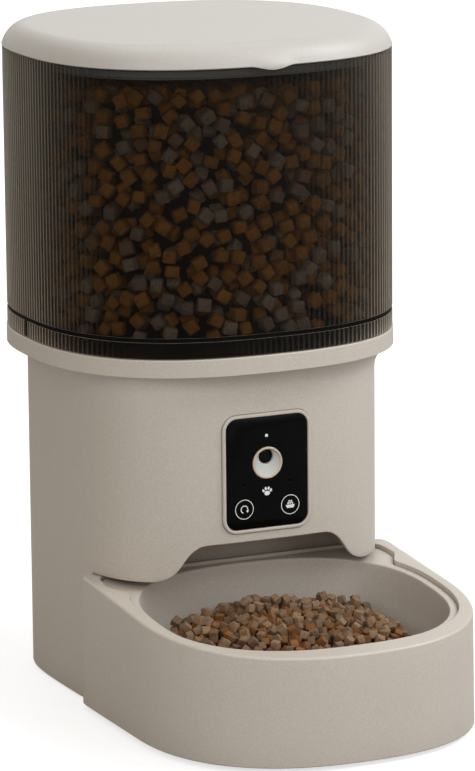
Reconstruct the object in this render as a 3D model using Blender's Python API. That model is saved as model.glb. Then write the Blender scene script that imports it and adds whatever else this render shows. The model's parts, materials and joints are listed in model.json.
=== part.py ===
"""Pet feeder with camera: a column with a smoked hopper on top, and a bowl in a tray in front.

Metres, +Z up. The origin is on the floor at the centre of the footprint. -Y is the front, where
the bowl stands.
The column (housing, hopper and lid) is centred at y = column_y, worked out below.
"""

from math import asin, atan2, cos, pi, radians, sin, sqrt

import bmesh
import bpy
from mathutils import Vector

# Clearances
gap = 0.0003                # between pieces that touch
slide_gap = 0.0005          # beside pieces that slide
cut_overrun = 0.004         # how far a cutter runs past what it cuts

# Hopper, an open tube with a superellipse plan
hopper_half_width = 0.098
hopper_half_depth = 0.0955
hopper_power = 2.5
hopper_height = 0.1484
hopper_wall = 0.0022

# Housing below it, one moulded shell with a flared collar
housing_half_width = 0.0828
housing_half_depth = 0.0838
housing_power = 3.43
housing_height = 0.1904
housing_wall = 0.0026
housing_floor_gap = 0.0008
housing_foot_round = 0.0015
collar_overhang = 0.0004
collar_height = 0.0092
collar_edge = 0.0006
flare_height = 0.0108
flare_shares = (0.35, 0.6, 0.8, 0.93)
ledge_depth = 0.0027
ledge_width = 0.0043
ledge_thickness = 0.0012
inner_flare_height = 0.011

# Front skirt with its arch over the bowl
leg_bottom = 0.0714
arch_rise = 0.0184
arch_outline_shares = ((1, 0), (0.93, 0.03), (0.85, 0.14), (0.79, 0.31), (0.748, 0.5), (0.69, 0.755),
                       (0.63, 0.91), (0.58, 0.98), (0.5, 1))
arch_half_width = 0.062
skirt_back = 0.0402         # the skirt ends this far in front of the column's centre

# Screw bosses of the housing
boss_radius = 0.005
boss_share = 0.785          # of the inner half sizes, where a boss melts into the shell's corner
plate_boss_height = 0.028
base_boss_height = 0.015
base_boss_front_y = 0.006

# Lid
lid_overhang = 0.0002
lid_height = 0.0116
lid_round_radial = 0.0133
lid_round_rise = 0.0146
lid_wall = 0.0024
lid_skirt_gap = 0.0005
lid_skirt_drop = 0.0054
lid_skirt_wall = 0.0033
seal_groove_depth = 0.0013
seal_groove_margin = 0.0009
lip_width = 0.027
lip_proud = 0.0018
lip_drop = 0.0019
lip_rise = 0.0035
lip_end_share = 0.35
lip_flat_share = 0.8

# Desiccant holder under the lid
desiccant_radius = 0.032
desiccant_height = 0.0145
desiccant_wall = 0.0016
cover_thickness = 0.0018
cover_overhang = 0.0015
cover_ring_height = 0.0045
cover_turn_gap = 0.0009     # round the ring, which turns in the box
cover_slot_count = 8
cover_slot_width = 0.0024
cover_slot_inner = 0.008
cover_slot_outer = 0.026

# Funnel between the hopper and the rotor
funnel_ring_gap = 0.0004
funnel_ring_rise = 0.0087
funnel_ring_wall = 0.0018
funnel_ring_step = 0.0012
funnel_wall = 0.0022
neck_radius = 0.0435
neck_height = 0.006
neck_drop = 0.0184          # from the housing's top to the neck's lower end

# Rotor chamber and rotor
rotor_back = 0.014          # the rotor's axis lies this far behind the column's centre
chamber_wall = 0.0022
chamber_height = 0.0257
chamber_floor = 0.0024
shield_half_angle = 0.63
shield_thickness = 0.002
shield_hub_radius = 0.0135
hub_radius = 0.009
hub_height = 0.0173
hub_dome = 0.006
hub_top_radius = 0.002
hub_dome_radius_share = 0.72
hub_dome_height_share = 0.67
hub_sleeve = 0.002
vane_count = 6
vane_thickness = 0.002
vane_tip_gap = 0.0006
vane_height = 0.017
shaft_radius = 0.003
shaft_in_hub = 0.011
bush_radius = 0.0055
bush_flange = 0.0075
bush_flange_thickness = 0.0008

# Outlet of the chamber and chute
outlet_half_width = 0.019
outlet_length = 0.017
outlet_hub_gap = 0.022      # from the rotor's axis to the outlet
outlet_corner = 0.002
chute_margin = 0.001        # the chute is wider than the outlet
chute_wall = 0.0016
chute_neck = 0.0037
chute_reach = 0.034         # how far the chute leads forward

# Plate that carries the rotor chamber and gearbox
plate_thickness = 0.0027

# Gear train
gear_module = 0.0009
wheel_teeth = 30
pinion_teeth = 12
addendum_share = 0.9
dedendum_share = 1.15
tooth_root_share = 0.235
tooth_tip_share = 0.115
gear_width = 0.006
gear_level_gap = 0.0015
idler_angle = radians(60)
motor_angle = radians(120)
gear_case_wall = 0.0018
gear_case_gap = 0.0006
gear_floor_gap = 0.0009
gear_case_height = 0.0198
gear_case_floor = 0.002
gear_cover_thickness = 0.0016
axle_radius = 0.0015
motor_radius = 0.014
motor_length = 0.0325
motor_neck_radius = 0.0045
motor_neck_length = 0.0015
motor_shaft_radius = 0.001
motor_shaft_grip = 0.004

# Base plate, front wall, feet and battery bay
base_bottom = 0.002
base_thickness = 0.003
base_wall_front = -0.0346
base_wall_thickness = 0.0024
foot_radius = 0.0075
foot_front_y = -0.024
foot_back_y = 0.038
foot_side_margin = 0.0142
bay_half_width = 0.054
bay_front_y = -0.001
bay_length = 0.071
bay_height = 0.037
bay_wall = 0.0018
door_opening_half_width = 0.0516
door_opening_margin = 0.0015
door_thickness = 0.0013
door_recess_depth = 0.0016
door_recess_margin = 0.003
door_travel = 0.006
door_hook_length = 0.006
door_hook_width = 0.0021
door_hook_stem = 0.0012
door_hook_thickness = 0.001
door_hook_shares = (0.2, 0.72)
door_grip_half_width = 0.009
door_grip_length = 0.0035
door_grip_depth = 0.0006
door_grip_count = 3
spring_count = 3
spring_pitch = 0.0345
spring_turns = 2.5
spring_steps_per_turn = 8
spring_base_radius = 0.0075
spring_top_radius = 0.0042
spring_wire_radius = 0.0006
spring_wire_sides = 5
spring_height = 0.0065
contact_height = 0.018
contact_thickness = 0.0005
contact_margin = 0.005
speaker_radius = 0.013
speaker_height = 0.008
speaker_rim_height = 0.001
speaker_magnet_radius = 0.008
speaker_magnet_height = 0.004
speaker_x = -0.03
speaker_y = -0.0165
grille_slot_count = 4
grille_slot_width = 0.0016
grille_slot_pitch = 0.004
grille_slot_half_length = 0.008

# Camera panel on the front
panel_bottom = 0.0967
panel_height = 0.0587
panel_half_width = 0.0231
panel_corner = 0.006
panel_thickness = 0.0016
panel_proud = 0.0004
bezel_width = 0.0018
bezel_proud = 0.0009
bezel_ledge = 0.0026
bezel_flange = 0.0028
bezel_flange_thickness = 0.0017
bezel_post_radius = 0.002
bezel_post_height = 0.0023
bezel_post_inset = 0.0006
board_thickness = 0.0016
camera_x = 0.0003
camera_z_share = 0.583      # of the panel's height
camera_ring_radius = 0.0084
camera_ring_proud = 0.0005
camera_ring_depth = 0.0052
camera_ring_flange = 0.0012
camera_recess_radius = 0.0072
camera_recess_depth = 0.0025
camera_recess_rise = 0.0001
lens_radius = 0.0037
lens_rise = 0.0031
lens_set_back = 0.0028
lens_glass_radius = 0.0028
lens_glass_bulge = 0.0007
lens_glass_depth = 0.001
lens_dome_shares = ((1, 0.5), (0.72, 0.17), (0.3, 0))
button_radius = 0.0055
button_x = 0.0131
button_z_share = 0.182
button_proud = 0.0001
button_flange = 0.0009
button_flange_thickness = 0.0011
button_travel = 0.0008
switch_size = 0.006
light_radius = 0.0009
light_z_share = 0.828
light_chip = 0.0026
light_chip_height = 0.002
pinhole_radius = 0.0006
pinhole_x = 0.013
pinhole_z_share = 0.4
microphone_radius = 0.002

# Back cover with the main board behind it, and the power inlet
back_cover_half_width = 0.036
back_cover_bay_gap = 0.0049     # above the battery bay
back_cover_drop = 0.026         # below the carrier plate
back_cover_thickness = 0.002
back_cover_inset = 0.0016
back_cover_corner = 0.004
back_ledge_width = 0.006
back_ledge_thickness = 0.0029
back_frame_margin = 0.003
back_frame_sink = 0.0006
main_board_half_width = 0.0285
main_board_margin = 0.008       # from the back cover's lower and upper edges
main_board_depth = 0.0096   # from the back cover to the board
board_post_radius = 0.0026
board_post_inset = 0.0045
chip_size = 0.014
chip_height = 0.0012
relay_length = 0.018
relay_width = 0.01
relay_height = 0.005
capacitor_radius = 0.004
capacitor_height = 0.009
inlet_half_width = 0.006
inlet_height = 0.0113
inlet_depth = 0.0082
inlet_sleeve_radius = 0.0045
inlet_bore_radius = 0.003
inlet_bore_depth = 0.0075
inlet_pin_radius = 0.001
inlet_pin_set_back = 0.002

# Hood over the bowl's back, behind the arch
hood_thickness = 0.002
hood_half_width = 0.0638
hood_cheek = 0.0018

# Tray, straight sided behind its centre and a superellipse in front of it
tray_half_width = 0.08927
tray_front_length = 0.08946
tray_back_length = 0.0741
tray_front_power = 2.402
tray_back_power = 30
tray_corner_offsets = (-0.014, 0, 0.014)
tray_bottom = 0.0024
tray_back_top = 0.0718
tray_slope = 0.0815
tray_draft = 0.0007
tray_foot_round = 0.001
tray_edge_round = 0.002
tray_edge_share = 0.29
tray_wall = 0.0024
tray_floor = 0.0024
tray_ledge_width = 0.0023
tray_ledge_thickness = 0.0024
tray_tongue_width = 0.014
tray_tongue_x = 0.04
tray_tongue_z = 0.01
tray_tongue_thickness = 0.004
tray_tongue_length = 0.0096
tray_pad_half_width = 0.006
tray_pad_length = 0.09
tray_pad_x = 0.055
tray_pad_corner = 0.003

# Bowl, hung by its rim in the tray
bowl_half_width = 0.0776
bowl_front_length = 0.0708
bowl_back_length = 0.0669
bowl_front_power = 2.56
bowl_back_power = 2.5
rim_drop = 0.0023           # below the tray's top
rim_half_width = 0.0822
rim_front_length = 0.0754
rim_back_length = 0.0711
rim_power = 2.5
wing_power = 12             # of the squarer outline that the rim widens into behind
wing_angles = (radians(25), radians(30))
rim_thickness = 0.002
rim_edge = 0.0008
bowl_wall = 0.0018
bowl_depth_level = 0.0262
bowl_side_shares = ((0.975, 0.48), (0.93, 0.24), (0.85, 0.104), (0.72, 0.032))
bowl_floor_share = 0.6

# Screws
screw_radius = 0.0015
screw_head_radius = 0.003
screw_head_height = 0.0011
screw_length = 0.012
small_screw_radius = 0.0011
small_screw_head_radius = 0.0024
small_screw_head_height = 0.001
small_screw_length = 0.0052

# Counts of points and steps round outlines
plan_points = 44
tray_points = 44
ring_points = 16
small_points = 8
corner_steps = 3
panel_corner_steps = 4
lid_round_steps = 4
vault_round_steps = 2
shield_steps = 8
hub_arc_steps = 3

# Edges that bend by more than this stay sharp in the shading
sharp_angle = radians(32)

# Looks: base colour, roughness, metallic
warm_white = ((0.56, 0.52, 0.47, 1), 0.5, 0.0)
lid_white = ((0.62, 0.59, 0.55, 1), 0.5, 0.0)
smoke = ((0.06, 0.05, 0.042, 1), 0.25, 0.0)
dark_plastic = ((0.018, 0.017, 0.016, 1), 0.45, 0.0)
grey_plastic = ((0.33, 0.33, 0.33, 1), 0.5, 0.0)
silicone = ((0.5, 0.5, 0.48, 1), 0.7, 0.0)
rubber = ((0.03, 0.03, 0.03, 1), 0.8, 0.0)
panel_black = ((0.006, 0.006, 0.006, 1), 0.12, 0.0)
lens_black = ((0.01, 0.011, 0.014, 1), 0.08, 0.0)
steel = ((0.55, 0.55, 0.56, 1), 0.3, 1.0)
brass = ((0.6, 0.45, 0.2, 1), 0.35, 1.0)
nylon = ((0.75, 0.74, 0.7, 1), 0.45, 0.0)
board_green = ((0.02, 0.12, 0.05, 1), 0.4, 0.0)
light_guide = ((0.7, 0.75, 0.75, 1), 0.15, 0.0)


def oval(half_width, half_depth, power, centre=(0, 0), count=plan_points):
    """Superellipse outline with its points at even angles."""
    points = []
    for step in range(count):
        angle = 2 * pi * step / count
        reach = abs(cos(angle) / half_width) ** power + abs(sin(angle) / half_depth) ** power
        reach = reach ** (-1 / power)
        points.append((centre[0] + reach * cos(angle), centre[1] + reach * sin(angle)))
    return points


def column_plan(inset):
    """Plan of the housing, inset from its outer face."""
    return oval(housing_half_width - inset, housing_half_depth - inset, housing_power, (0, column_y))


def crossing(outline, axis, value, side):
    """Where an outline crosses a line of one x (axis 0) or one y (axis 1), on one side of the centre."""
    other = 1 - axis
    middle = (0, column_y)[other]
    for start, end in zip(outline, outline[1:] + outline[:1]):
        first, last = sorted((start, end), key=lambda point: point[axis])
        if first[axis] <= value < last[axis] and side * (first[other] - middle) > 0:
            share = (value - first[axis]) / (last[axis] - first[axis])
            return first[other] + share * (last[other] - first[other])
    return middle


# Places worked out from the sizes above
collar_half_width = hopper_half_width + collar_overhang
collar_half_depth = hopper_half_depth + collar_overhang
housing_inner_width = housing_half_width - housing_wall
housing_inner_depth = housing_half_depth - housing_wall
tray_back_gap = gap
tray_centre_back = skirt_back + tray_back_gap + tray_back_length
front_reach = tray_centre_back + tray_front_length
column_y = (front_reach - collar_half_depth) / 2
tray_y = column_y - tray_centre_back
rotor_y = column_y + rotor_back
front_y = column_y - housing_half_depth
back_y = column_y + housing_half_depth

hopper_bottom = housing_height + gap
hopper_top = hopper_bottom + hopper_height
lid_bottom = hopper_top + gap
lid_top = lid_bottom + lid_height
lid_ceiling = lid_top - lid_wall

ledge_z = housing_height - ledge_depth
neck_bottom = housing_height - neck_drop
chamber_top = neck_bottom - gap
chamber_bottom = chamber_top - chamber_height
chamber_floor_top = chamber_bottom + chamber_floor
plate_top = chamber_bottom - gap
plate_bottom = plate_top - plate_thickness
gear_cover_top = plate_bottom - gap
gear_cover_bottom = gear_cover_top - gear_cover_thickness
gear_case_top = gear_cover_bottom - gap
gear_case_bottom = gear_case_top - gear_case_height
wheel_radius = gear_module * wheel_teeth / 2
pinion_radius = gear_module * pinion_teeth / 2
gear_spacing = wheel_radius + pinion_radius
gear_reach = wheel_radius + gear_module * addendum_share
low_gear_z = gear_case_bottom + gear_case_floor + gear_floor_gap
axle_foot = gear_case_bottom + gear_case_floor / 2
high_gear_z = low_gear_z + gear_width + gear_level_gap
rotor_axis = (0, rotor_y)
idler_axis = (gear_spacing * cos(idler_angle), rotor_y + gear_spacing * sin(idler_angle))
motor_axis = (idler_axis[0] + gear_spacing * cos(motor_angle),
              idler_axis[1] + gear_spacing * sin(motor_angle))
outlet_back = rotor_y - outlet_hub_gap
outlet_front = outlet_back - outlet_length

arch_top = leg_bottom + arch_rise
base_top = base_bottom + base_thickness
hood_bottom = arch_top + gap
hood_top = hood_bottom + hood_thickness
chute_bottom = hood_top + gap

camera_z = panel_bottom + camera_z_share * panel_height
button_z = panel_bottom + button_z_share * panel_height
light_z = panel_bottom + light_z_share * panel_height
pinhole_z = panel_bottom + pinhole_z_share * panel_height
glass_front = front_y - panel_proud
glass_back = glass_front + panel_thickness
bezel_ledge_front = glass_back + gap
flange_half_width = panel_half_width + bezel_width + bezel_flange
flange_front = crossing(column_plan(housing_wall), 0, flange_half_width, -1) + gap
bezel_back = flange_front + bezel_flange_thickness
board_front = bezel_back + bezel_post_height + gap
board_back = board_front + board_thickness

bay_back_y = bay_front_y + bay_length
bay_centre_z = base_top + bay_height / 2
bay_top = base_top + gap + bay_height + bay_wall
back_cover_bottom = bay_top + back_cover_bay_gap
back_cover_top = plate_bottom - back_cover_drop
back_cover_height = back_cover_top - back_cover_bottom
main_board_height = back_cover_height - 2 * main_board_margin
tray_rim_z = tray_back_top - rim_drop


def make_material(name, look):
    colour, roughness, metallic = look
    material = bpy.data.materials.new(name)
    material.use_nodes = True
    shader = material.node_tree.nodes["Principled BSDF"]
    shader.inputs["Base Color"].default_value = colour
    shader.inputs["Roughness"].default_value = roughness
    shader.inputs["Metallic"].default_value = metallic
    material.diffuse_color = colour
    return material


def circle(radius, centre=(0, 0), count=ring_points):
    return oval(radius, radius, 2, centre, count)


def collar_plan(inset):
    """Plan of the housing's collar, inset from its outer face."""
    return oval(collar_half_width - inset, collar_half_depth - inset, hopper_power, (0, column_y))


def hopper_plan(inset):
    return oval(hopper_half_width - inset, hopper_half_depth - inset, hopper_power, (0, column_y))


def rounded_box(low, high, corner, steps=corner_steps):
    """Rectangle outline with round corners."""
    points = []
    right, left = high[0] - corner, low[0] + corner
    top, bottom = high[1] - corner, low[1] + corner
    centres = ((right, top), (left, top), (left, bottom), (right, bottom))
    for quarter, (x, y) in enumerate(centres):
        for step in range(steps + 1):
            angle = pi / 2 * (quarter + step / steps)
            points.append((x + corner * cos(angle), y + corner * sin(angle)))
    return points


def plain_box(low, high):
    return [(low[0], low[1]), (high[0], low[1]), (high[0], high[1]), (low[0], high[1])]


def blend(outline_a, outline_b, share):
    keep = 1 - share
    return [(keep * a[0] + share * b[0], keep * a[1] + share * b[1]) for a, b in zip(outline_a, outline_b)]


def place(u, v, level, axis):
    """A section's point in space: sections lie across Z, across Y or across X."""
    height = level(u, v) if callable(level) else level
    if axis == "Z":
        return (u, v, height)
    if axis == "Y":
        return (u, height, v)
    return (height, u, v)


def loft(sections, axis="Z", closed=False):
    """Skin over (outline, level) sections; it is capped at both ends, or closed into a ring."""
    shape = bmesh.new()
    rows = [[shape.verts.new(place(u, v, level, axis)) for u, v in outline] for outline, level in sections]
    pairs = list(zip(rows, rows[1:]))
    if closed:
        pairs.append((rows[-1], rows[0]))
    else:
        shape.faces.new(rows[0])
        shape.faces.new(rows[-1])
    for first, second in pairs:
        for index in range(len(first)):
            following = (index + 1) % len(first)
            shape.faces.new((first[index], first[following], second[following], second[index]))
    bmesh.ops.recalc_face_normals(shape, faces=shape.faces)
    return shape


def extrude(outline, start, end, axis="Z"):
    return loft([(outline, start), (outline, end)], axis)


def tube(outer, inner, start, end, axis="Z"):
    return loft([(outer, start), (outer, end), (inner, end), (inner, start)], axis, closed=True)


def block(low, high):
    return extrude(plain_box(low[:2], high[:2]), low[2], high[2])


def gather(shapes):
    """Several separate shapes as one, for use as a cutter or an addition."""
    whole = bmesh.new()
    for shape in shapes:
        mesh = bpy.data.meshes.new("shape")
        shape.to_mesh(mesh)
        shape.free()
        whole.from_mesh(mesh)
        bpy.data.meshes.remove(mesh)
    return whole


def add_object(name, shape, origin):
    bmesh.ops.translate(shape, verts=shape.verts, vec=-Vector(origin))
    mesh = bpy.data.meshes.new(name)
    shape.to_mesh(mesh)
    shape.free()
    item = bpy.data.objects.new(name, mesh)
    item.location = origin
    bpy.context.scene.collection.objects.link(item)
    return item


def piece(name, shape, look, origin=(0, 0, 0)):
    """One sub-part with its own material, its origin on its joint's axis where it moves."""
    item = add_object(name, shape, origin)
    item.data.shade_smooth()
    item.data.set_sharp_from_angle(angle=sharp_angle)
    item.data.materials.append(make_material(name, look))
    return item


def work_on(item, operation, shapes):
    """Adds to a sub-part, or cuts from it, with hidden guide shapes."""
    guide = add_object(item.name + "_" + operation.lower(), gather(shapes), (0, 0, 0))
    guide.hide_render = True
    guide.display_type = "WIRE"
    modifier = item.modifiers.new(operation.lower(), "BOOLEAN")
    modifier.operation = operation
    modifier.object = guide
    modifier.solver = "EXACT"


def cut(item, *shapes):
    work_on(item, "DIFFERENCE", shapes)


def add(item, *shapes):
    work_on(item, "UNION", shapes)


def corner_bosses():
    """Centres of the four bosses in the housing's corners."""
    x = boss_share * housing_inner_width
    y = boss_share * housing_inner_depth
    return [(side_x * x, column_y + side_y * y) for side_x in (-1, 1) for side_y in (-1, 1)]


def screw_hole(spot, low, high):
    return extrude(circle(screw_radius + gap, spot, small_points), low, high)


def base_screw_places():
    """Two bosses on the side walls in front, two in the corners behind."""
    x = housing_inner_width - boss_radius * boss_share
    back = [spot for spot in corner_bosses() if spot[1] > column_y]
    return [(-x, column_y + base_boss_front_y), (x, column_y + base_boss_front_y)] + back


# Housing
def housing_sections():
    body = column_plan(0)
    collar = collar_plan(0)
    collar_bottom = housing_height - collar_height
    flare_bottom = collar_bottom - flare_height
    sections = [(column_plan(housing_foot_round), housing_floor_gap),
                (body, housing_floor_gap + housing_foot_round),
                (body, flare_bottom)]
    for share in flare_shares:
        sections.append((blend(body, collar, 1 - sqrt(1 - share ** 2)), flare_bottom + share * flare_height))
    bore = collar_plan(housing_wall)
    ledge = collar_plan(housing_wall + ledge_width)
    inner = column_plan(housing_wall)
    ledge_bottom = ledge_z - ledge_thickness
    sections += [(collar, collar_bottom), (collar, housing_height - collar_edge),
                 (collar_plan(collar_edge), housing_height), (bore, housing_height), (bore, ledge_z),
                 (ledge, ledge_z), (ledge, ledge_bottom), (inner, ledge_bottom - inner_flare_height),
                 (inner, housing_floor_gap)]
    return sections


def arch_outline():
    """Front view of the arch: a trapezoid with soft shoulders and flared feet."""
    below = leg_bottom - cut_overrun
    right = [(arch_half_width * across, leg_bottom + arch_rise * up) for across, up in arch_outline_shares]
    left = [(-x, z) for x, z in reversed(right)]
    return [(arch_half_width, below)] + right + left + [(-arch_half_width, below)]


def back_frame(margin, start, end):
    low = (-back_cover_half_width - margin, back_cover_bottom - margin)
    high = (back_cover_half_width + margin, back_cover_top + margin)
    return extrude(rounded_box(low, high, back_cover_corner), start, end, "Y")


def build_housing():
    housing = piece("main_housing", loft(housing_sections(), closed=True), warm_white)
    bosses = []
    upper = plate_top + gap
    lower = base_top + gap
    for spot in corner_bosses():
        bosses.append(extrude(circle(boss_radius, spot, small_points), upper, upper + plate_boss_height))
    for spot in base_screw_places():
        bosses.append(extrude(circle(boss_radius, spot, small_points), lower, lower + base_boss_height))
    cover_front = back_y - back_cover_inset - back_cover_thickness
    bosses.append(back_frame(back_frame_margin, cover_front - gap - back_ledge_thickness,
                             back_y - housing_wall + back_frame_sink))
    add(housing, *bosses)

    wide = housing_half_width + cut_overrun
    skirt = block((-wide, front_y - cut_overrun, -cut_overrun), (wide, column_y - skirt_back, leg_bottom))
    arch = extrude(arch_outline(), front_y - cut_overrun, column_y - skirt_back - cut_overrun, "Y")
    opening = extrude(panel_outline(bezel_width + 2 * gap), front_y - cut_overrun,
                      front_y + housing_wall + cut_overrun, "Y")
    cut(housing, skirt)
    cut(housing, arch, opening)
    window_front = cover_front - back_ledge_thickness - cut_overrun
    pocket = back_frame(gap, cover_front - gap, back_y + cut_overrun)
    window = back_frame(-back_ledge_width, window_front, back_y + cut_overrun)
    inlet = extrude(circle(inlet_sleeve_radius + gap, (0, inlet_axis_z())),
                    back_y - housing_wall - cut_overrun, back_y + cut_overrun, "Y")
    cut(housing, pocket, inlet)
    cut(housing, window)
    holes = [screw_hole(spot, plate_bottom, plate_top + screw_length) for spot in corner_bosses()]
    holes += [screw_hole(spot, base_bottom, base_bottom + screw_length + gap) for spot in base_screw_places()]
    for spot in cover_screw_places():
        outline = circle(small_screw_radius + gap, spot, small_points)
        holes.append(extrude(outline, window_front, back_y, "Y"))
    cut(housing, *holes)


# Hopper and lid
def build_hopper():
    outer = hopper_plan(0)
    inner = hopper_plan(hopper_wall)
    piece("hopper", tube(outer, inner, hopper_bottom, hopper_top), smoke)


def lid_plan(inset):
    return oval(hopper_half_width + lid_overhang - inset, hopper_half_depth + lid_overhang - inset,
                hopper_power, (0, column_y))


def lid_rounding(inset, drop, steps):
    """Sections of the lid's soft edge, a quarter ellipse that starts a little above its widest point."""
    start = asin(1 - lid_height / lid_round_rise)
    sections = []
    for step in range(steps + 1):
        angle = start + (pi / 2 - start) * step / steps
        inward = lid_round_radial * (cos(start) - cos(angle))
        sections.append((lid_plan(inset + inward), lid_top - drop - lid_round_rise * (1 - sin(angle))))
    return sections


def build_lid():
    skirt_outer = hopper_wall + lid_overhang + lid_skirt_gap
    groove = skirt_outer + seal_groove_depth
    skirt_inner = skirt_outer + lid_skirt_wall
    skirt_bottom = lid_bottom - lid_skirt_drop
    groove_low = skirt_bottom + seal_groove_margin
    groove_high = lid_bottom - seal_groove_margin
    rounding = lid_rounding(0, 0, lid_round_steps)
    vault = lid_rounding(skirt_inner, lid_wall, vault_round_steps)[1:]
    sections = list(reversed(rounding))
    sections += [(lid_plan(skirt_outer), lid_bottom), (lid_plan(skirt_outer), groove_high),
                 (lid_plan(groove), groove_high), (lid_plan(groove), groove_low),
                 (lid_plan(skirt_outer), groove_low), (lid_plan(skirt_outer), skirt_bottom),
                 (lid_plan(skirt_inner), skirt_bottom)] + vault
    lid = piece("lid", loft(sections), lid_white, (0, column_y, lid_bottom))
    add(lid, finger_lip())
    seal_outer = lid_plan(hopper_wall + lid_overhang + gap)
    seal_inner = lid_plan(groove - gap)
    piece("lid_seal", tube(seal_outer, seal_inner, groove_low + gap, groove_high - gap), silicone)


def finger_lip():
    """Lip at the lid's front edge, L-shaped in section, that hangs in front of the hopper's wall."""
    face = column_y - hopper_half_depth - lid_overhang
    inner = column_y - hopper_half_depth - gap
    root = lid_bottom + gap
    sections = []
    for across, share in ((-1, lip_end_share), (-lip_flat_share, 1), (lip_flat_share, 1), (1, lip_end_share)):
        front = face - share * lip_proud
        low = lid_bottom - share * lip_drop
        high = lid_bottom + lip_rise
        outline = [(front, low), (inner, low), (inner, root), (face + lid_wall / 2, root),
                   (face + lid_wall / 2, high), (front, root + share * lip_rise / 2)]
        sections.append((outline, across * lip_width / 2))
    return loft(sections, "X")


def build_desiccant_holder():
    centre = (0, column_y)
    top = lid_ceiling - gap
    bottom = top - desiccant_height
    outer = circle(desiccant_radius, centre)
    inner = circle(desiccant_radius - desiccant_wall, centre)
    cup = loft([(outer, top), (outer, bottom), (inner, bottom), (inner, top - desiccant_wall)])
    piece("desiccant_box", cup, warm_white)

    cover_top = bottom - gap
    cover_bottom = cover_top - cover_thickness
    ring_top = cover_top + cover_ring_height
    ring_outer = circle(desiccant_radius - desiccant_wall - cover_turn_gap, centre)
    ring_inner = circle(desiccant_radius - 2 * desiccant_wall - cover_turn_gap, centre)
    rim = circle(desiccant_radius + cover_overhang, centre)
    sections = [(rim, cover_bottom), (rim, cover_top), (ring_outer, cover_top),
                (ring_outer, ring_top), (ring_inner, ring_top), (ring_inner, cover_top)]
    cover = piece("desiccant_cover", loft(sections), warm_white, (0, column_y, cover_bottom))
    slots = []
    for index in range(cover_slot_count):
        angle = 2 * pi * index / cover_slot_count
        slots.append(spoke(centre, angle, cover_slot_inner, cover_slot_outer, cover_slot_width,
                           cover_bottom - cut_overrun, cover_top + cut_overrun))
    cut(cover, *slots)


def spoke(centre, angle, start, end, width, low, high):
    """A bar that runs outward from a centre."""
    corners = ((start, -width / 2), (end, -width / 2), (end, width / 2), (start, width / 2))
    outline = [(centre[0] + along * cos(angle) - across * sin(angle),
                centre[1] + along * sin(angle) + across * cos(angle)) for along, across in corners]
    return extrude(outline, low, high)


# Funnel, rotor chamber and rotor
def build_funnel():
    ring_outer = hopper_plan(hopper_wall + funnel_ring_gap)
    ring_inner = hopper_plan(hopper_wall + funnel_ring_gap + funnel_ring_wall)
    bottom = ledge_z + gap
    ring_top = housing_height + funnel_ring_rise
    slope_top = ring_top - funnel_ring_step
    neck_outer = circle(neck_radius + funnel_wall, rotor_axis, plan_points)
    neck_inner = circle(neck_radius, rotor_axis, plan_points)
    neck_top = neck_bottom + neck_height
    sections = [(ring_outer, bottom), (ring_outer, ring_top), (ring_inner, ring_top), (ring_inner, slope_top),
                (neck_inner, neck_top), (neck_inner, neck_bottom), (neck_outer, neck_bottom),
                (neck_outer, neck_top - funnel_wall), (ring_inner, slope_top - funnel_wall),
                (ring_inner, bottom)]
    piece("hopper_funnel", loft(sections, closed=True), dark_plastic)


def outlet_outline(margin):
    low = (-outlet_half_width - margin, outlet_front - margin)
    high = (outlet_half_width + margin, outlet_back + margin)
    return rounded_box(low, high, outlet_corner)


def build_rotor_chamber():
    outer = circle(neck_radius + chamber_wall, rotor_axis, 2 * ring_points)
    inner = circle(neck_radius, rotor_axis, 2 * ring_points)
    cup = loft([(outer, chamber_bottom), (outer, chamber_top), (inner, chamber_top),
                (inner, chamber_floor_top)])
    chamber = piece("rotor_chamber", cup, grey_plastic)
    shield = []
    span = [-pi / 2 + shield_half_angle * (2 * step / shield_steps - 1) for step in range(shield_steps + 1)]
    for radius in (shield_hub_radius, neck_radius + chamber_wall / 2):
        arc = [(radius * cos(angle), rotor_y + radius * sin(angle)) for angle in span]
        shield += arc if not shield else list(reversed(arc))
    add(chamber, extrude(shield, chamber_top - shield_thickness, chamber_top))
    low = chamber_bottom - cut_overrun
    high = chamber_floor_top + cut_overrun
    outlet = extrude(outlet_outline(0), low, high)
    bore = extrude(circle(bush_radius + gap, rotor_axis), low, high)
    cut(chamber, outlet, bore)

    flange_top = chamber_bottom - gap
    flange_bottom = flange_top - bush_flange_thickness
    flange = circle(bush_flange, rotor_axis)
    sleeve = circle(bush_radius, rotor_axis)
    hole = circle(shaft_radius + gap, rotor_axis)
    bush = loft([(flange, flange_bottom), (flange, flange_top), (sleeve, flange_top),
                 (sleeve, chamber_floor_top), (hole, chamber_floor_top), (hole, flange_bottom)], closed=True)
    piece("shaft_bush", bush, brass)


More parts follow.
